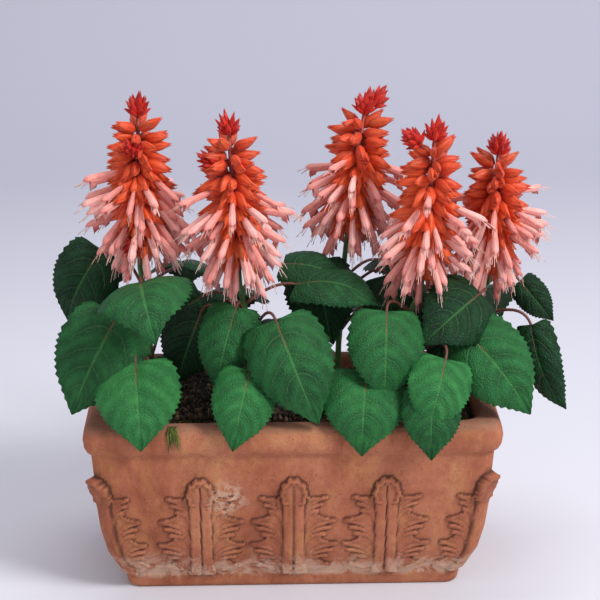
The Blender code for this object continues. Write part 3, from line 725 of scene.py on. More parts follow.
def fibre_parts(seed, length, radius, curl):
    """Bent threads of peat fibre or moss."""
    chance = random.Random(seed)
    made = []
    for _ in range(SHAPES_OF_A_KIND):
        reach = length * chance.uniform(0.7, 1.2)
        bend = Vector((chance.uniform(-1, 1), chance.uniform(-1, 1), chance.uniform(0.1, 0.9))) * reach * curl
        end = Vector((chance.uniform(-0.5, 0.5), chance.uniform(-0.5, 0.5), chance.uniform(0.2, 0.9))) * reach
        points = bezier(Vector((0, 0, -0.001)), bend, end, 5)
        made.append(tube(points, [radius, radius, radius * 0.9, radius * 0.7, radius * 0.3], 3))
    return made


def crumb_parts(seed):
    """Lumpy crumbs of bark."""
    chance = random.Random(seed)
    made = []
    for _ in range(SHAPES_OF_A_KIND):
        points = []
        for n in range(4):
            shift = Vector((chance.uniform(-1, 1), chance.uniform(-1, 1), chance.uniform(-0.4, 0.4)))
            points.append(Vector((n * 1.6 * MM, 0, 0)) + shift * 0.8 * MM * n)
        made.append(tube(points, [0.8 * MM, 1.9 * MM, 1.6 * MM, 0.6 * MM], 5))
    return made


def dry_patch(name, bounds, level):
    """A small sheet over part of the bed, for litter to grow from; it is not kept."""
    xs, ys = (np.linspace(*ends, PATCH_STEPS) * MM for ends in bounds)
    points = [(x, y, float(compost_height(x, y, level * MM))) for y in ys for x in xs]
    starts = [row * PATCH_STEPS + n for row in range(PATCH_STEPS - 1) for n in range(PATCH_STEPS - 1)]
    mesh = bpy.data.meshes.new(name)
    mesh.from_pydata(points, [], [(n, n + 1, n + PATCH_STEPS + 1, n + PATCH_STEPS) for n in starts])
    return placed(name, mesh)


def make_litter(fibre_material, moss_material, bark_material):
    """Fibres, moss tufts and bark crumbs lying on the compost."""
    tree = litter_tree()
    fibres = shape_collection("peat_fibres", fibre_parts(11, 16 * MM, 0.32 * MM, 0.8))
    threads = shape_collection("moss_threads", fibre_parts(12, 9 * MM, 0.35 * MM, 0.5))
    crumbs = shape_collection("bark_crumbs", crumb_parts(13))
    # What grows where, in millimetres, at what level, how densely per square metre, and its least and largest
    # size, its lean and its seed.
    jobs = [
        ("peat_fibre_litter", fibres, WHOLE_BED, 178.5, 52000, 0.5, 1.3, 1.3, 4, fibre_material),
        ("bark_crumb_litter", crumbs, WHOLE_BED, 179.5, 42000, 0.5, 1.7, 3.1, 5, bark_material),
        ("moss_tuft_middle", threads, ((36, 72), (-68, -52)), 177, 900000, 0.5, 1.2, 0.8, 6, moss_material),
        ("moss_tuft_right", threads, ((140, 170), (-64, -40)), 175, 700000, 0.5, 1.1, 0.8, 7, moss_material),
        ("moss_tuft_left", threads, ((-118, -92), (-70, -48)), 176, 500000, 0.5, 1.1, 0.8, 8, moss_material),
    ]
    for name, shapes, bounds, level, density, least, most, lean, seed, finish in jobs:
        patch = dry_patch(name + "_ground", bounds, level)
        values = {
            "Shapes": shapes, "Density": float(density), "Smallest": least, "Largest": most, "Lean": lean,
            "Seed": seed, "Finish": finish,
        }
        settle(run_nodes(patch, tree, values, name), [])
    for holder in (fibres, threads, crumbs):
        clear_collection(holder)


def make_moss_trail(material):
    """Moss that hangs over the front rim."""
    chance = random.Random(17)
    trail = []
    for _ in range(TRAIL_THREADS):
        across, drop = chance.uniform(-4, 4), chance.uniform(2, 25)
        start = vector_mm((TRAIL_X + across, -86 + chance.uniform(-6, 0), 190.5))
        end = vector_mm((TRAIL_X + 1 + across * 1.6, -95.5 - chance.uniform(0, 1.5), 190 - drop))
        over = vector_mm((TRAIL_X + across, -97, 191.5))
        radii = [0.4 * MM] * 4 + [0.2 * MM]
        trail.append(tube(bezier(start, over, end, 5), radii, 3, tone=chance.uniform(0.0, 0.6)))
    settle(mesh_from("moss_trail_over_rim", trail, material), [])


def make_bark_chip(material):
    """One pale chip of bark, caught inside the back rim."""
    line = [vector_mm((x, 62 + 0.3 * x, 185 + 0.12 * x)) for x in (-54, -50, -45, -40)]
    chip = tube(line, [1.5 * MM, 4.2 * MM, 4.0 * MM, 1.2 * MM], 6, tone=0.95)
    settle(mesh_from("dry_bark_chip", [chip], material), [])


# Leaves and stems

STEM_RADIUS = 3.2 * MM
STEM_TOP_RADIUS = 2.4 * MM
STEM_ROOTED = 36 * MM
PETIOLE_RADIUS = 1.35 * MM
BLADE_THICKNESS = 0.5 * MM
BLADE_STATIONS = 54
BLADE_ACROSS = 16
TOOTH_DEPTHS = (0.022, -0.014, 0.002)
FRONT_FACE = (0.0, -0.88, 0.47)
BACK_FACE = (0.0, 0.55, 0.83)
VEIN_PAIRS = 5.5
VEIN_RISE = 0.36
VEIN_ARCH = 1.5
JOINT_SWELL = 0.28
STALK_POINTS = 14
# Leaf tones: leaves at the front take the lighter tones, and those behind them darker ones, as painted shade.
FRONT_TONES = (0.38, 0.78)
SHADED_TONES = (0.06, 0.34)

# Each plant, in millimetres: where its stem stands, the ends of its flower spike and its side tufts, each as
# (share of the way up, way round, tilt from upright).
PLANTS = [
    {
        "turn": 17, "foot": (-138, 2), "neck": (-146, 8, 338), "crown": (-143, 8, 472),
        "tufts": [(0.10, -100, 100), (0.66, -100, 55)],
    },
    {
        "turn": 34, "foot": (-40, -22), "neck": (-51, -20, 330), "crown": (-58, -18, 460),
        "tufts": [(0.66, 200, 50)],
    },
    {"turn": 51, "foot": (48, 38), "neck": (58, 46, 346), "crown": (72, 48, 462), "tufts": [(0.88, 30, 35)]},
    {
        "turn": 86, "foot": (98, -12), "neck": (126, -8, 316), "crown": (135, -6, 450),
        "tufts": [(0.84, 190, 45)],
    },
    {"turn": 85, "foot": (150, 22), "neck": (197, 30, 310), "crown": (200, 28, 426), "tufts": []},
]
# Each plant's leaves, in millimetres and degrees: the height at which the stalk leaves the stem, the blade's
# foot, the heading, pitch and roll of its midrib, and its length and width.
LEAVES = [
    [
        (296, (-187, 44, 322), -166, -60, 0, 82, 66),
        (284, (-141, -52, 322), -79, -14, 0, 84, 88),
        (252, (-165, -46, 288), -142, -56, 0, 104, 84),
        (222, (-148, -70, 250), -80, -62, 0, 84, 80),
        (296, (-112, 48, 300), 84, -30, 0, 76, 66),
        (252, (-172, 46, 262), 138, -30, 0, 80, 70),
        (222, (-132, 40, 240), 100, -24, 0, 76, 68),
    ],
    [
        (284, (-88, 20, 280), -172, -34, 0, 60, 54),
        (262, (-88, 0, 272), -142, -64, 0, 74, 62),
        (272, (-53, -38, 292), -136, -68, 0, 84, 56),
        (246, (-16, -58, 286), -52, -56, 0, 106, 80),
        (222, (-41, -72, 241), -114, -58, 0, 78, 60),
        (300, (-8, 16, 315), -12, -16, -34, 72, 48),
        (286, (4, -8, 303), -13, -10, -36, 88, 54),
        (276, (-58, 28, 276), 88, -30, 0, 78, 70),
        (232, (-26, 22, 248), 58, -26, 0, 70, 62),
    ],
    [
        (286, (92, 78, 296), 30, -24, 0, 78, 68),
        (262, (34, 84, 282), 108, -34, 0, 82, 72),
        (232, (80, 66, 252), 62, -34, 0, 70, 60),
    ],
    [
        (272, (89, -48, 290), -97, -62, 0, 88, 72),
        (238, (69, -66, 236), -100, -58, 0, 80, 80),
        (214, (143, -78, 253), -120, -58, 0, 72, 60),
        (214, (130, -84, 228), -98, -64, 0, 70, 56),
        (262, (118, 40, 268), 80, -30, 0, 78, 68),
    ],
    [
        (268, (181, -20, 296), -142, -22, 0, 82, 72),
        (244, (166, -42, 266), -35, -42, 0, 100, 76),
        (250, (234, 66, 276), -24, -47, 10, 54, 34),
        (240, (232, -20, 263), -33, -66, 34, 92, 42),
        (256, (196, 72, 262), 66, -34, 0, 82, 70),
        (226, (160, 56, 246), 100, -30, 0, 78, 68),
    ],
]


# More leaves, in the shade behind the others or just opening, in the same terms.
SHADED_LEAVES = {
    1: [(214, (-134, -16, 222), -20, 20, 0, 22, 16), (216, (-150, -14, 226), -150, 24, 0, 20, 14)],
    2: [(252, (-70, 26, 268), -150, -50, 0, 84, 74)],
    3: [(300, (24, 30, 312), -70, -62, 0, 84, 70), (270, (96, 44, 292), -60, -52, 0, 76, 66)],
    4: [(250, (150, 10, 276), -50, -50, 0, 70, 60)],
    5: [(230, (168, 40, 262), -130, -56, 0, 70, 58)],
}


def aim(heading, pitch):
    """The unit vector with this heading and pitch, in degrees."""
    turn, rise = math.radians(heading), math.radians(pitch)
    return Vector((math.cos(turn) * math.cos(rise), math.sin(turn) * math.cos(rise), math.sin(rise)))


def stem_points(plant):
    """The stem's line, from its foot in the compost to just below its flower spike."""
    foot = vector_mm((*plant["foot"], 0))
    neck = vector_mm(plant["neck"])
    upward = (vector_mm(plant["crown"]) - neck).normalized()
    ground = SOIL_EDGE + SOIL_MOUND
    below = Vector((foot.x, foot.y, ground - STEM_ROOTED))
    above = Vector((foot.x, foot.y, ground + 4 * MM))
    shoulder = neck - upward * 22 * MM
    bend = Vector((foot.x, foot.y, (above.z + shoulder.z) / 2))
    return [below] + bezier(above, bend, shoulder, 24) + [neck + upward * 6 * MM]


def point_at_height(points, z):
    """Where a rising line of points passes height z."""
    for low, high in zip(points, points[1:]):
        if low.z <= z <= high.z:
            return low.lerp(high, (z - low.z) / (high.z - low.z))
    return points[-1]


def blade_frame(foot, heading, pitch, roll):
    """Where a blade lies: its foot, the way its tip points and its upper face."""
    forward = aim(heading, pitch)
    face = Vector(BACK_FACE if forward.y > 0 else FRONT_FACE)
    face = Matrix.Rotation(math.radians(roll), 3, forward) @ face
    side = face.cross(forward).normalized()
    normal = forward.cross(side)
    turned = Matrix((forward, side, normal)).transposed().to_4x4()
    return Matrix.Translation(foot) @ turned


def blade_outline(share):
    """(distance from the blade's foot, half width) at a share of the way round from foot to tip,
    for a blade of length and width 1: heart-shaped, with a drawn-out tip."""
    forward = share - 0.16 * math.sin(math.pi * min(1.0, share / 0.35)) * (1 - share)
    taper = max(0.0, (share - 0.72) / 0.28)
    half = 0.5 * max(0.0, math.sin(math.pi * share**0.68)) ** 0.82 * (1 - 0.35 * taper)
    return forward, half


def blade_part(length, width, seed, tone):
    """A toothed heart-shaped blade along +X that faces +Z: arched, folded to its midrib, quilted between its
    veins, with a lightly waved edge and a drawn-out tip that droops."""
    chance = random.Random(seed)
    wave, twist, droop = chance.uniform(0, 6.28), chance.uniform(-0.12, 0.12), chance.uniform(0.04, 0.12)
    fold = chance.uniform(0.10, 0.24)
    hook = chance.uniform(-0.05, 0.05)
    rows, uv_rows, under_rows = [], [], []
    stations = [0.1, *range(1, BLADE_STATIONS), BLADE_STATIONS - 0.15]
    across = np.linspace(1, -1, BLADE_ACROSS + 1)
    edge = np.abs(across)
    for station in stations:
        share = station / BLADE_STATIONS
        forward, half = blade_outline(share)
        tooth = TOOTH_DEPTHS[round(station) % len(TOOTH_DEPTHS)]
        half = max(0.004, half + tooth * min(1.0, 5 * (1 - share)) * min(1.0, 9 * share))
        side = across * half * width
        along = (forward + (share - forward) * (1 - edge) ** 1.4) * length
        t = np.clip(along / length, 0, 1)
        level = (0.09 + droop) * length * np.sin(math.pi * t) - droop * length * t**2
        level = level + fold * np.abs(side) - 0.9 * np.abs(side) ** 2 / width
        level = level + twist * side * share
        level = level + 0.022 * length * edge**2 * np.sin(share * 10 + wave + 1.5 * np.sign(across))
        phase = (share - VEIN_RISE * edge**VEIN_ARCH) * VEIN_PAIRS
        pillow = np.sqrt(np.abs(np.sin(math.pi * phase)))
        level = level + 1.5 * MM * pillow * np.clip(edge * 5, 0, 1) * np.clip((1 - edge) * 3, 0, 1)
        top = np.stack([along, side + hook * length * t**4, level], 1)
        low = top - np.array([0, 0, BLADE_THICKNESS])
        rows.append(np.concatenate([top, low[::-1]]))
        place = np.stack([0.5 - across / 2, np.full(len(across), share)], 1)
        uv_rows.append(np.concatenate([place, place[::-1], place[:1]]))
        under_rows.append([0.0] * len(across) + [1.0] * len(across))
    return skin(np.array(rows), np.array(uv_rows), {"tone": tone, "under": np.array(under_rows)})


def leaf_stalk(start, place, blade, length):
    """A leaf's stalk from the stem, which runs on below the blade as its midrib."""
    forward = place.to_3x3() @ Vector((1, 0, 0))
    down = place.to_3x3() @ Vector((0, 0, -1))
    reach = (place.translation - start).length
    hold = place.translation + down * 0.4 * MM
    points = bezier(start, hold - forward * reach * 0.4, hold, STALK_POINTS)
    sizes = [1.25 - 0.25 * n / (STALK_POINTS - 1) for n in range(STALK_POINTS)]
    for share, size in ((0.10, 0.8), (0.25, 0.6), (0.45, 0.4), (0.65, 0.2)):
        points.append(place @ Vector((share * length, 0, blade_mid_level(blade, share) - 0.7 * MM)))
        sizes.append(size)
    return tube(points, [PETIOLE_RADIUS * size for size in sizes], 8, tone=0.85)


def make_leafy_stem(number, plant, leaves, leaf_material, stem_material):
    """One plant's stem with its joints, and its leaves on their stalks."""
    line = stem_points(plant)
    chance = random.Random(40 + number)
    joints = {round(height) for height, *_ in leaves}
    radii = []
    for point in line:
        share = (point.z - line[0].z) / (line[-1].z - line[0].z)
        swell = sum(JOINT_SWELL * math.exp(-(((point.z / MM - joint) / 4.0) ** 2)) for joint in joints)
        radii.append((STEM_RADIUS + (STEM_TOP_RADIUS - STEM_RADIUS) * share) * (0.92 + swell))
    stalks = [tube(line, radii, 12, 0.10, tone=0.25)]
    blades = []
    for n, leaf in enumerate(leaves + SHADED_LEAVES[number]):
        height, foot, heading, pitch, roll, length, width = leaf
        place = blade_frame(vector_mm(foot), heading, pitch, roll)
        # Painted shade: leaves that stand behind the front ones take darker tones.
        tone = chance.uniform(*(FRONT_TONES if foot[1] < -30 else SHADED_TONES))
        blade = blade_part(length * MM, width * MM, 100 * number + n, tone)
        blades.append(moved(blade, place))
        stalks.append(leaf_stalk(point_at_height(line, height * MM), place, blade, length * MM))
    leafy = mesh_from(f"salvia_{number}_leaves", blades, leaf_material)
    stems = mesh_from(f"salvia_{number}_stems", stalks, stem_material)
    for piece in (leafy, stems):
        settle(piece, [f"leafy_stem_{number}"])


def blade_mid_level(blade, share):
    """The height of a blade's midrib at a share of its length."""
    station = min(BLADE_STATIONS, max(0, round(share * BLADE_STATIONS)))
    count = 2 * (BLADE_ACROSS + 1)
    return float(blade["points"][station * count + BLADE_ACROSS // 2][2])


# Flower spikes

RACHIS_RADIUS = 2.4 * MM
# Whorls of flowers: (share of the way up, pitch in degrees, flowers, whether they are open). The second list
# fills the heads out.
WHORLS = [
    (0.00, -56, 5, True), (0.14, -47, 6, True), (0.28, -35, 6, True), (0.42, -24, 5, True),
    (0.54, -15, 4, True), (0.48, -34, 4, False), (0.66, -12, 6, False), (0.80, 8, 5, False),
    (0.98, 26, 3, False),
]
FILLING_WHORLS = [
    (0.04, -58, 5, True), (0.12, -38, 7, True), (0.24, -28, 7, True), (0.36, -18, 7, True),
    (0.48, -9, 6, True), (0.60, -4, 3, True), (0.42, -20, 5, False), (0.56, -14, 7, False),
    (0.64, 0, 6, False), (0.72, 4, 6, False), (0.80, 18, 4, False), (0.88, 14, 5, False),
    (0.95, 44, 3, False),
]
BARE_BELOW = 22 * MM
BARE_ABOVE = 17 * MM
ELBOW_ROOM = 3.0 * MM
# A bud tuft's rings of bracts: how many, their lean in degrees and their scale.
TUFT_RINGS = ((5, 15, 0.90), (7, 32, 0.80), (6, 56, 0.62))
OPEN_LENGTH = 61.0
CLOSED_LENGTH = 30.0
CALYX_SIDES = 9
COROLLA_SIDES = 8
SIDE_TUFT_STALK = 20 * MM


def axis_at(plant, z):
    """The middle of a plant's flower spike at height z, as a flat (x, y) vector in metres."""
    neck, crown = vector_mm(plant["neck"]), vector_mm(plant["crown"])
    share = (z - neck.z) / (crown.z - neck.z)
    return (neck.lerp(crown, min(1.0, max(0.0, share)))).to_2d()


def reach_limit(plant, tip):
    """How far past the halfway line to the nearest other spike a flower's tip would be."""
    here = axis_at(plant, tip.z)
    worst = -1.0
    for other in PLANTS:
        if other is plant:
            continue
        between = axis_at(other, tip.z) - here
        past = (tip.to_2d() - here).dot(between.normalized()) - between.length / 2 + ELBOW_ROOM
        worst = max(worst, past)
    return worst


def flower_places(plant, number, whorls, seed):
    """Every flower of a spike: (root, direction, whether it is open, scale, share of the way up)."""
    chance = random.Random(seed + number)
    neck, crown = vector_mm(plant["neck"]), vector_mm(plant["crown"])
    upward = (crown - neck).normalized()
    first, last = neck + upward * BARE_BELOW, crown - upward * BARE_ABOVE
    found = []
    for whorl, (share, droop, count, is_open) in enumerate(whorls):
        root = first.lerp(last, share)
        for flower in range(count):
            heading = 360 * flower / count + 37 * whorl + plant["turn"] + chance.uniform(-7, 7)
            pitch = droop + chance.uniform(-7, 7)
            size = (1.0 - 0.14 * share) * chance.uniform(0.94, 1.06)
            length = (OPEN_LENGTH if is_open else CLOSED_LENGTH) * MM * size
            while reach_limit(plant, root + aim(heading, pitch) * length) > 0 and pitch > -82:
                pitch -= 2
            found.append((root, aim(heading, pitch), is_open, size, share))
    return found


def tuft_places(root, axis, number):
    """The bracts of a bud tuft: (root, direction, scale), round its axis in rings and one on it."""
    side = axis.orthogonal().normalized()
    across = axis.cross(side)
    found = [(root, axis, 1.05)]
    for ring, (count, lean, scale) in enumerate(TUFT_RINGS):
        tilt = math.radians(lean)
        for i in range(count):
            turn = math.radians(360 * (i + 0.5 * ring) / count + 23 * number)
            outward = side * math.cos(turn) + across * math.sin(turn)
            found.append((root, axis * math.cos(tilt) + outward * math.sin(tilt), scale))
    return found


def calyx_part(length, girth, mouth, seed):
    """A two-lipped calyx along +Z: almond-shaped and ribbed, ending in three lobes drawn out to fine points.
    mouth is how wide it gapes, from 0 for a shut one."""
    chance = random.Random(seed)
    shares = [0.0, 0.14, 0.36, 0.60, 0.82, 1.0]
    widths = [0.24, 0.60, 0.95, 1.0, 0.74 + 0.26 * mouth, 0.20 + 0.8 * mouth]
    turn = np.arange(CALYX_SIDES) * 2 * math.pi / CALYX_SIDES
    lobe = (0.5 + 0.5 * np.cos(3 * (turn - math.pi / 2))) ** 1.5
    ribs = 1 + 0.06 * np.cos(3 * turn)
    lean = chance.uniform(-0.08, 0.08)
    rings = []
    for share, width in zip(shares, widths):
        late = max(0.0, (share - 0.55) / 0.45) ** 2
        reach = girth * width * ribs * (1 - 0.20 * late * (1 - mouth) * lobe)
        z = length * (share * 0.80 + 0.30 * late * lobe)
        x = reach * np.cos(turn) * 0.84 + lean * length * share**2
        y = reach * np.sin(turn) * 1.10 - 0.10 * length * share**2
        rings.append(np.stack([x, y, z], 1))
    last = rings[-1]
    centre = last.mean(0)
    if mouth > 0.2:
        inner = centre + (last - centre) * np.array([0.84, 0.84, 0.86])
        rings.append(inner - np.array([0, 0, 0.03 * length]))
        rings.append(centre * np.array([1, 1, 0.6]) + (last - centre) * np.array([0.5, 0.5, 0.1]))
    else:
        rings.append(centre + (last - centre) * np.array([0.25, 0.25, 0.3]))
    return skin(np.array(rings))


def corolla_part(length, throat, bend, flare, shrink, seed):
    """A tubular two-lipped flower along +Z: a slim tube that widens to its throat, a hooded upper lip
    (towards +Y) and a lower lip that turns back in lobes. It has an inner wall, so its mouth is hollow."""
    chance = random.Random(seed)
    turn = np.arange(COROLLA_SIDES) * 2 * math.pi / COROLLA_SIDES
    up = np.sin(turn)
    sway = chance.uniform(-1, 1) * 2.0 * MM
    rings, along = [], []
    tube_rows = [(0.16, 0.56), (0.42, 0.72), (0.68, 0.90), (0.86, 1.0)]
    for share, width in tube_rows:
        crumple = 1 + shrink * 0.25 * np.cos(2 * turn + 9 * share)
        x = throat * width * np.cos(turn) * 0.84 * crumple + sway * share**2
        y = throat * width * up * 1.08 * crumple - bend * share**2
        rings.append(np.stack([x, y, np.full(COROLLA_SIDES, length * share)], 1))
        along.append(share * 0.9)
    high, low = np.clip(up, 0, 1), np.clip(-up, 0, 1)
    base = rings[-1]
    lobes = 1 + 0.35 * np.cos(3 * (turn + math.pi / 2)) * low
    for step in (0.5, 1.0):
        ahead = length * (0.14 * step * high**0.7 + 0.07 * step * low * (1 - 0.5 * flare * step) * lobes)
        x = base[:, 0] * (1 - 0.45 * step**2 * high + 0.45 * flare * step * low)
        y = base[:, 1] - throat * step**2 * high * 0.75 - throat * step**2 * low * 1.0 * flare * lobes
        rings.append(np.stack([x, y, base[:, 2] + ahead], 1))
        along.append(0.8 + 0.2 * step)
    edge = rings[-1]
    for inward, depth in ((0.84, 0.012), (0.50, 0.20)):
        centre = np.array([edge[:, 0].mean(), edge[:, 1].mean(), 0])
        ring = centre + (edge - centre) * np.array([inward, inward, 1])
        sunk = min(1, depth * 4)
        ring[:, 2] = edge[:, 2] * (1 - sunk) + sunk * length * (0.95 - depth) - depth * 0.2 * MM
        rings.append(ring)
        along.append(0.62 if depth > 0.1 else 0.98)
    around, rows = np.meshgrid(np.linspace(0, 1, COROLLA_SIDES + 1), np.array(along))
    return skin(np.array(rings), np.stack([around, rows], -1))


def thread_part(length, bend, seed):
    """The style and two stamens that hang out of a flower's mouth."""
    chance = random.Random(seed)
    parts = []
    for reach, side in ((1.0, 0.0), (0.55, 1.2), (0.5, -1.3)):
        far = length * (0.98 + 0.20 * reach * chance.uniform(0.8, 1.2))
        start = Vector((side * MM * 0.5, 1.0 * MM - bend * 0.6, length * 0.74))
        end = Vector((side * MM * 1.6, -bend - chance.uniform(1.0, 5.0) * MM, far))
        middle = (start + end) / 2 + Vector((0, 2.2 * MM, 0))
        radii = [0.34 * MM, 0.32 * MM, 0.30 * MM, 0.30 * MM, 0.42 * MM]
        parts.append(tube(bezier(start, middle, end, 5), radii, 4))
    return joined(parts)


def whorl_tree():
    """Grows one of the shapes on each point, by the point's own kind, turn, size and tone."""
    tree, given, result = growth_tree(
        "flowers_in_whorls", Shapes="Collection", Size="Float", Finish="Material"
    )
    spots = add(tree, "GeometryNodeMeshToPoints", Mesh=given["Geometry"])
    turn = add(tree, OWN_VALUE, {"data_type": "FLOAT_VECTOR"}, "turn")
    kind = add(tree, OWN_VALUE, {"data_type": "INT"}, "kind")
    size = add(tree, MATHS, "MULTIPLY", add(tree, OWN_VALUE, DECIMAL, "size"), given["Size"])
    grown = shapes_on_points(tree, spots, given["Shapes"], kind, turn, size)
    finish_tree(tree, grown, given["Finish"], result)
    return tree


def grow(name, tree, spots, shapes, finish):
    """A piece of one spike: a shape on every spot, each spot being (root, direction, size, kind, tone)."""
    mesh = bpy.data.meshes.new(name)
    mesh.from_pydata([tuple(spot[0]) for spot in spots], [], [])
    turns = [tuple(spot[1].to_track_quat("Z", "Y").to_euler()) for spot in spots]
    mesh.attributes.new("turn", "FLOAT_VECTOR", "POINT").data.foreach_set("vector", np.array(turns).ravel())
    for column, label, kind in ((2, "size", "FLOAT"), (3, "kind", "INT"), (4, "tone", "FLOAT")):
        values = [spot[column] for spot in spots]
        mesh.attributes.new(label, kind, "POINT").data.foreach_set("value", values)
    obj = placed(name + "_spots", mesh)
    return run_nodes(obj, tree, {"Shapes": shapes, "Size": 1.0, "Finish": finish}, name)


def spike_spots(plant, number, chance):
    """Where a spike's calyces and corollas stand: (root, direction, size, kind, tone). Younger flowers, near
    the top, are redder, and the oldest calyces have browned."""
    calyx_spots, corolla_spots = [], []
    flowers = flower_places(plant, number, WHORLS, 100) + flower_places(plant, number, FILLING_WHORLS, 500)
    for root, planned, is_open, size, share in flowers:
        direction = (planned + Vector([chance.uniform(-0.16, 0.16) for _ in range(3)])).normalized()
        old = share < 0.16 and chance.random() < 0.45
        age = 0.95 if old else 0.05 + 0.5 * share**2 + chance.uniform(0.0, 0.38)
        start = root + direction * chance.uniform(2.0, 6.0) * MM
        swell = 1.20 - 0.30 * share
        if is_open:
            kind = chance.choice((2, 3))
            faded = chance.random() < (0.45 if share < 0.2 else 0.16)
            bloom_kind = 3 if faded else chance.choice((0, 1, 2))
            bloom_tone = chance.uniform(0.70, 1.0) if faded else chance.uniform(0.05, 0.72)
            bloom_size = size * chance.uniform(0.92, 1.04)
            corolla_spots.append((start, direction, bloom_size, bloom_kind, bloom_tone))
        else:
            kind = chance.choice((0, 0, 1))
        calyx_spots.append((start, direction, size * swell * chance.uniform(0.92, 1.08), kind, age))
    return calyx_spots, corolla_spots


def make_shapes():
    """The few shapes that every spike is grown from, as collections: shut calyces, then gaping ones;
    corollas, of which the last is a withered one, each with its own threads; and bracts."""
    closed = CLOSED_LENGTH * MM
    calyces = [
        calyx_part(closed, 6.2 * MM, 0.0, 1), calyx_part(closed * 0.94, 6.6 * MM, 0.15, 2),
        calyx_part(27 * MM, 5.9 * MM, 0.75, 3), calyx_part(26 * MM, 5.6 * MM, 0.95, 4),
    ]
    corollas = [
        corolla_part(58 * MM, 4.6 * MM, 3.0 * MM, 0.9, 0.1, 5),
        corolla_part(60 * MM, 4.3 * MM, 6.5 * MM, 0.7, 0.3, 6),
        corolla_part(55 * MM, 4.8 * MM, 0.5 * MM, 1.1, 0.0, 7),
        corolla_part(54 * MM, 3.7 * MM, 10.0 * MM, 0.4, 0.9, 8),
    ]
    threads = [
        thread_part(58 * MM, 3.0 * MM, 9), thread_part(60 * MM, 6.5 * MM, 10),
        thread_part(55 * MM, 0.5 * MM, 11), thread_part(52 * MM, 10.0 * MM, 12),
    ]
    bracts = [calyx_part(22 * MM, 4.0 * MM, 0.0, 21), calyx_part(23 * MM, 3.2 * MM, 0.0, 22)]
    kinds = {"calyx": calyces, "corolla": corollas, "thread": threads, "bract": bracts}
    return {name: shape_collection(name, parts) for name, parts in kinds.items()}


def make_spike(number, plant, tree, shapes, finishes):
    """One flower spike: an axis, calyces, corollas with their threads, and its bud tufts."""
    chance = random.Random(300 + number)
    neck, crown = vector_mm(plant["neck"]), vector_mm(plant["crown"])
    upward = (crown - neck).normalized()
    calyx_spots, corolla_spots = spike_spots(plant, number, chance)
    tufts = tuft_places(crown - upward * 5 * MM, upward, number)
    radii = [RACHIS_RADIUS, RACHIS_RADIUS, RACHIS_RADIUS * 0.6]
    axes = [tube([neck, neck.lerp(crown, 0.5), crown], radii, 8, 0.1, tone=0.6)]
    for share, heading, tilt in plant["tufts"]:
        start = neck.lerp(crown, share)
        direction = aim(heading, 90 - tilt)
        end = start + direction * SIDE_TUFT_STALK
        axes.append(tube([start, (start + end) / 2, end], RACHIS_RADIUS * 0.6, 8, tone=0.7))
        tufts += tuft_places(end - direction * 1.5 * MM, direction, number)
    bract_spots = [(*tuft, chance.choice((0, 1)), chance.uniform(0.2, 1.0)) for tuft in tufts]
    grown = [
        ("calyces", calyx_spots, "calyx", "calyx"), ("corollas", corolla_spots, "corolla", "corolla"),
        ("threads", corolla_spots, "thread", "thread"), ("buds", bract_spots, "bract", "bud"),
    ]
    pieces = [
        grow(f"spike_{number}_{name}", tree, spots, shapes[shape], finishes[finish])
        for name, spots, shape, finish in grown
    ]
    pieces.append(mesh_from(f"spike_{number}_axis", axes, finishes["axis"]))
    for piece in pieces:
        settle(piece, [f"flower_spike_{number}"])


def flower_finishes():
    """The flowers' materials. Calyces brown with age, and corollas fade to rust, by their own tone."""
    return {
        "calyx": petal_material(
            "salvia_calyx", [(0.0, "#A8301A"), (0.3, "#E4582C"), (0.75, "#EA6433"), (1.0, "#A82015")],
            [(0.0, "#EE6E38"), (0.35, "#E25026"), (0.65, "#C22E1A"), (0.85, "#A83A20"), (1.0, "#A85A30")],
            "#A8200F", 0.40, 0.12,
        ),
        "corolla": petal_material(
            "salvia_corolla", [(0.0, "#E0705C"), (0.35, "#F09A8B"), (0.75, "#F6B2A8"), (1.0, "#EE8F88")],
            [(0.0, "#FBCFC6"), (0.4, "#F3A89C"), (0.7, "#E07C70"), (1.0, "#B8483C")], "#DB7368", 0.42, 0.30,
        ),
        "thread": toned_material("stamen_thread", [(0.0, "#F6D6C8"), (1.0, "#DE9A8A")], 0.5),
        "bud": petal_material(
            "salvia_bud", [(0.0, "#A8201A"), (0.5, "#DC2F1C"), (1.0, "#A01212")],
            [(0.0, "#E8401F"), (0.5, "#C81F16"), (1.0, "#8E1414")], "#7C0F0F", 0.42, 0.1,
        ),
        "axis": toned_material("flower_axis", [(0.0, "#8A3A2A"), (0.6, "#A83A26"), (1.0, "#7E241C")], 0.5),
    }


# Stage and light, in metres and watts

SWEEP_BEND_START = 1.3
SWEEP_BEND = 0.9
# Each lamp: its name, place, power and width.
LAMPS = [
    ("key_softbox", (2.2, -1.5, 2.8), 116, 1.1), ("fill_softbox", (-1.9, -1.4, 1.2), 9, 1.6),
    ("top_softbox", (-0.1, 0.4, 2.3), 18, 1.2),
]


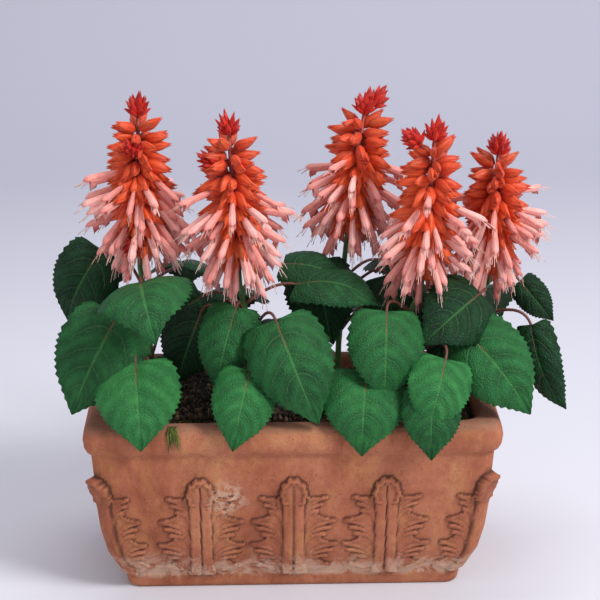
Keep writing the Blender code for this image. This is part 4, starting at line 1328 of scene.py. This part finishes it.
def make_stage():
    """A pale sweep: a floor that curves up far behind into a backdrop, drawn darker towards the back as
    painted shade.
    """
    material, tree, shader, where = new_material("painted_paper_sweep", Roughness=0.9)
    # Painted shade: the sweep's pale lavender-grey darkens from the front towards the back.
    far = add(tree, BAND, SMOOTH, add(tree, "ShaderNodeSeparateXYZ", None, where).outputs["Y"], -0.1, 1.5)
    fill(tree, shader, Base_Color=add(tree, MIX, COLOURS, far, "#D4D3DA", "#B9B9C5"))
    line = [(-3.0, 0.0), (SWEEP_BEND_START, 0.0)]
    for t in np.linspace(0.1, math.pi / 2, 14):
        line.append((SWEEP_BEND_START + SWEEP_BEND * math.sin(t), SWEEP_BEND * (1 - math.cos(t))))
    line.append((SWEEP_BEND_START + SWEEP_BEND, 3.4))
    points = [(x, y, z) for y, z in line for x in (-4.0, 4.0)]
    faces = [(2 * n, 2 * n + 1, 2 * n + 3, 2 * n + 2) for n in range(len(line) - 1)]
    mesh = bpy.data.meshes.new("sweep")
    mesh.from_pydata(points, [], faces)
    mesh.shade_smooth()
    mesh.materials.append(material)
    placed("sweep", mesh)


def make_lights():
    """Soft studio light: a large key from the right and above, a weak fill and an even pale room."""
    for name, spot, power, size in LAMPS:
        data = bpy.data.lights.new(name, "AREA")
        data.energy = power
        data.size = size
        lamp = placed(name, data)
        lamp.location = spot
        lamp.rotation_euler = (Vector((0, 0, 0.25)) - lamp.location).to_track_quat("-Z", "Y").to_euler()
    world = bpy.data.worlds.new("studio")
    bpy.context.scene.world = world
    world.use_nodes = True
    fill(world.node_tree, world.node_tree.nodes["Background"], Color="#E6E8F4", Strength=0.55)
    bpy.context.scene.view_settings.view_transform = "Standard"


make_camera()
make_stage()
make_lights()
make_trough(fired_terracotta())
make_compost(damp_compost())
fibre = toned_material("dry_peat_fibre", [(0.0, "#2E2318"), (0.5, "#6A5334"), (1.0, "#A98E60")])
moss = toned_material("living_moss", [(0.0, "#3E4A1C"), (0.5, "#6E7B2E"), (1.0, "#A3A84E")])
bark = toned_material("bark_crumb", [(0.0, "#15100D"), (0.6, "#3A2A1F"), (1.0, "#7A5C41")])
make_litter(fibre, moss, bark)
make_moss_trail(moss)
make_bark_chip(bark)
leaf_skin = salvia_leaf()
stem_stops = [(0.0, "#3E7038"), (0.4, "#48702F"), (0.75, "#6B3B2B"), (1.0, "#5A2A24")]
stem_skin = toned_material("salvia_stem", stem_stops, 0.5)
for count, (one_plant, one_set) in enumerate(zip(PLANTS, LEAVES), start=1):
    make_leafy_stem(count, one_plant, one_set, leaf_skin, stem_skin)
flower_skins = flower_finishes()
growth = whorl_tree()
flower_shapes = make_shapes()
for count, one_plant in enumerate(PLANTS, start=1):
    make_spike(count, one_plant, growth, flower_shapes, flower_skins)
for one_kind in flower_shapes.values():
    clear_collection(one_kind)
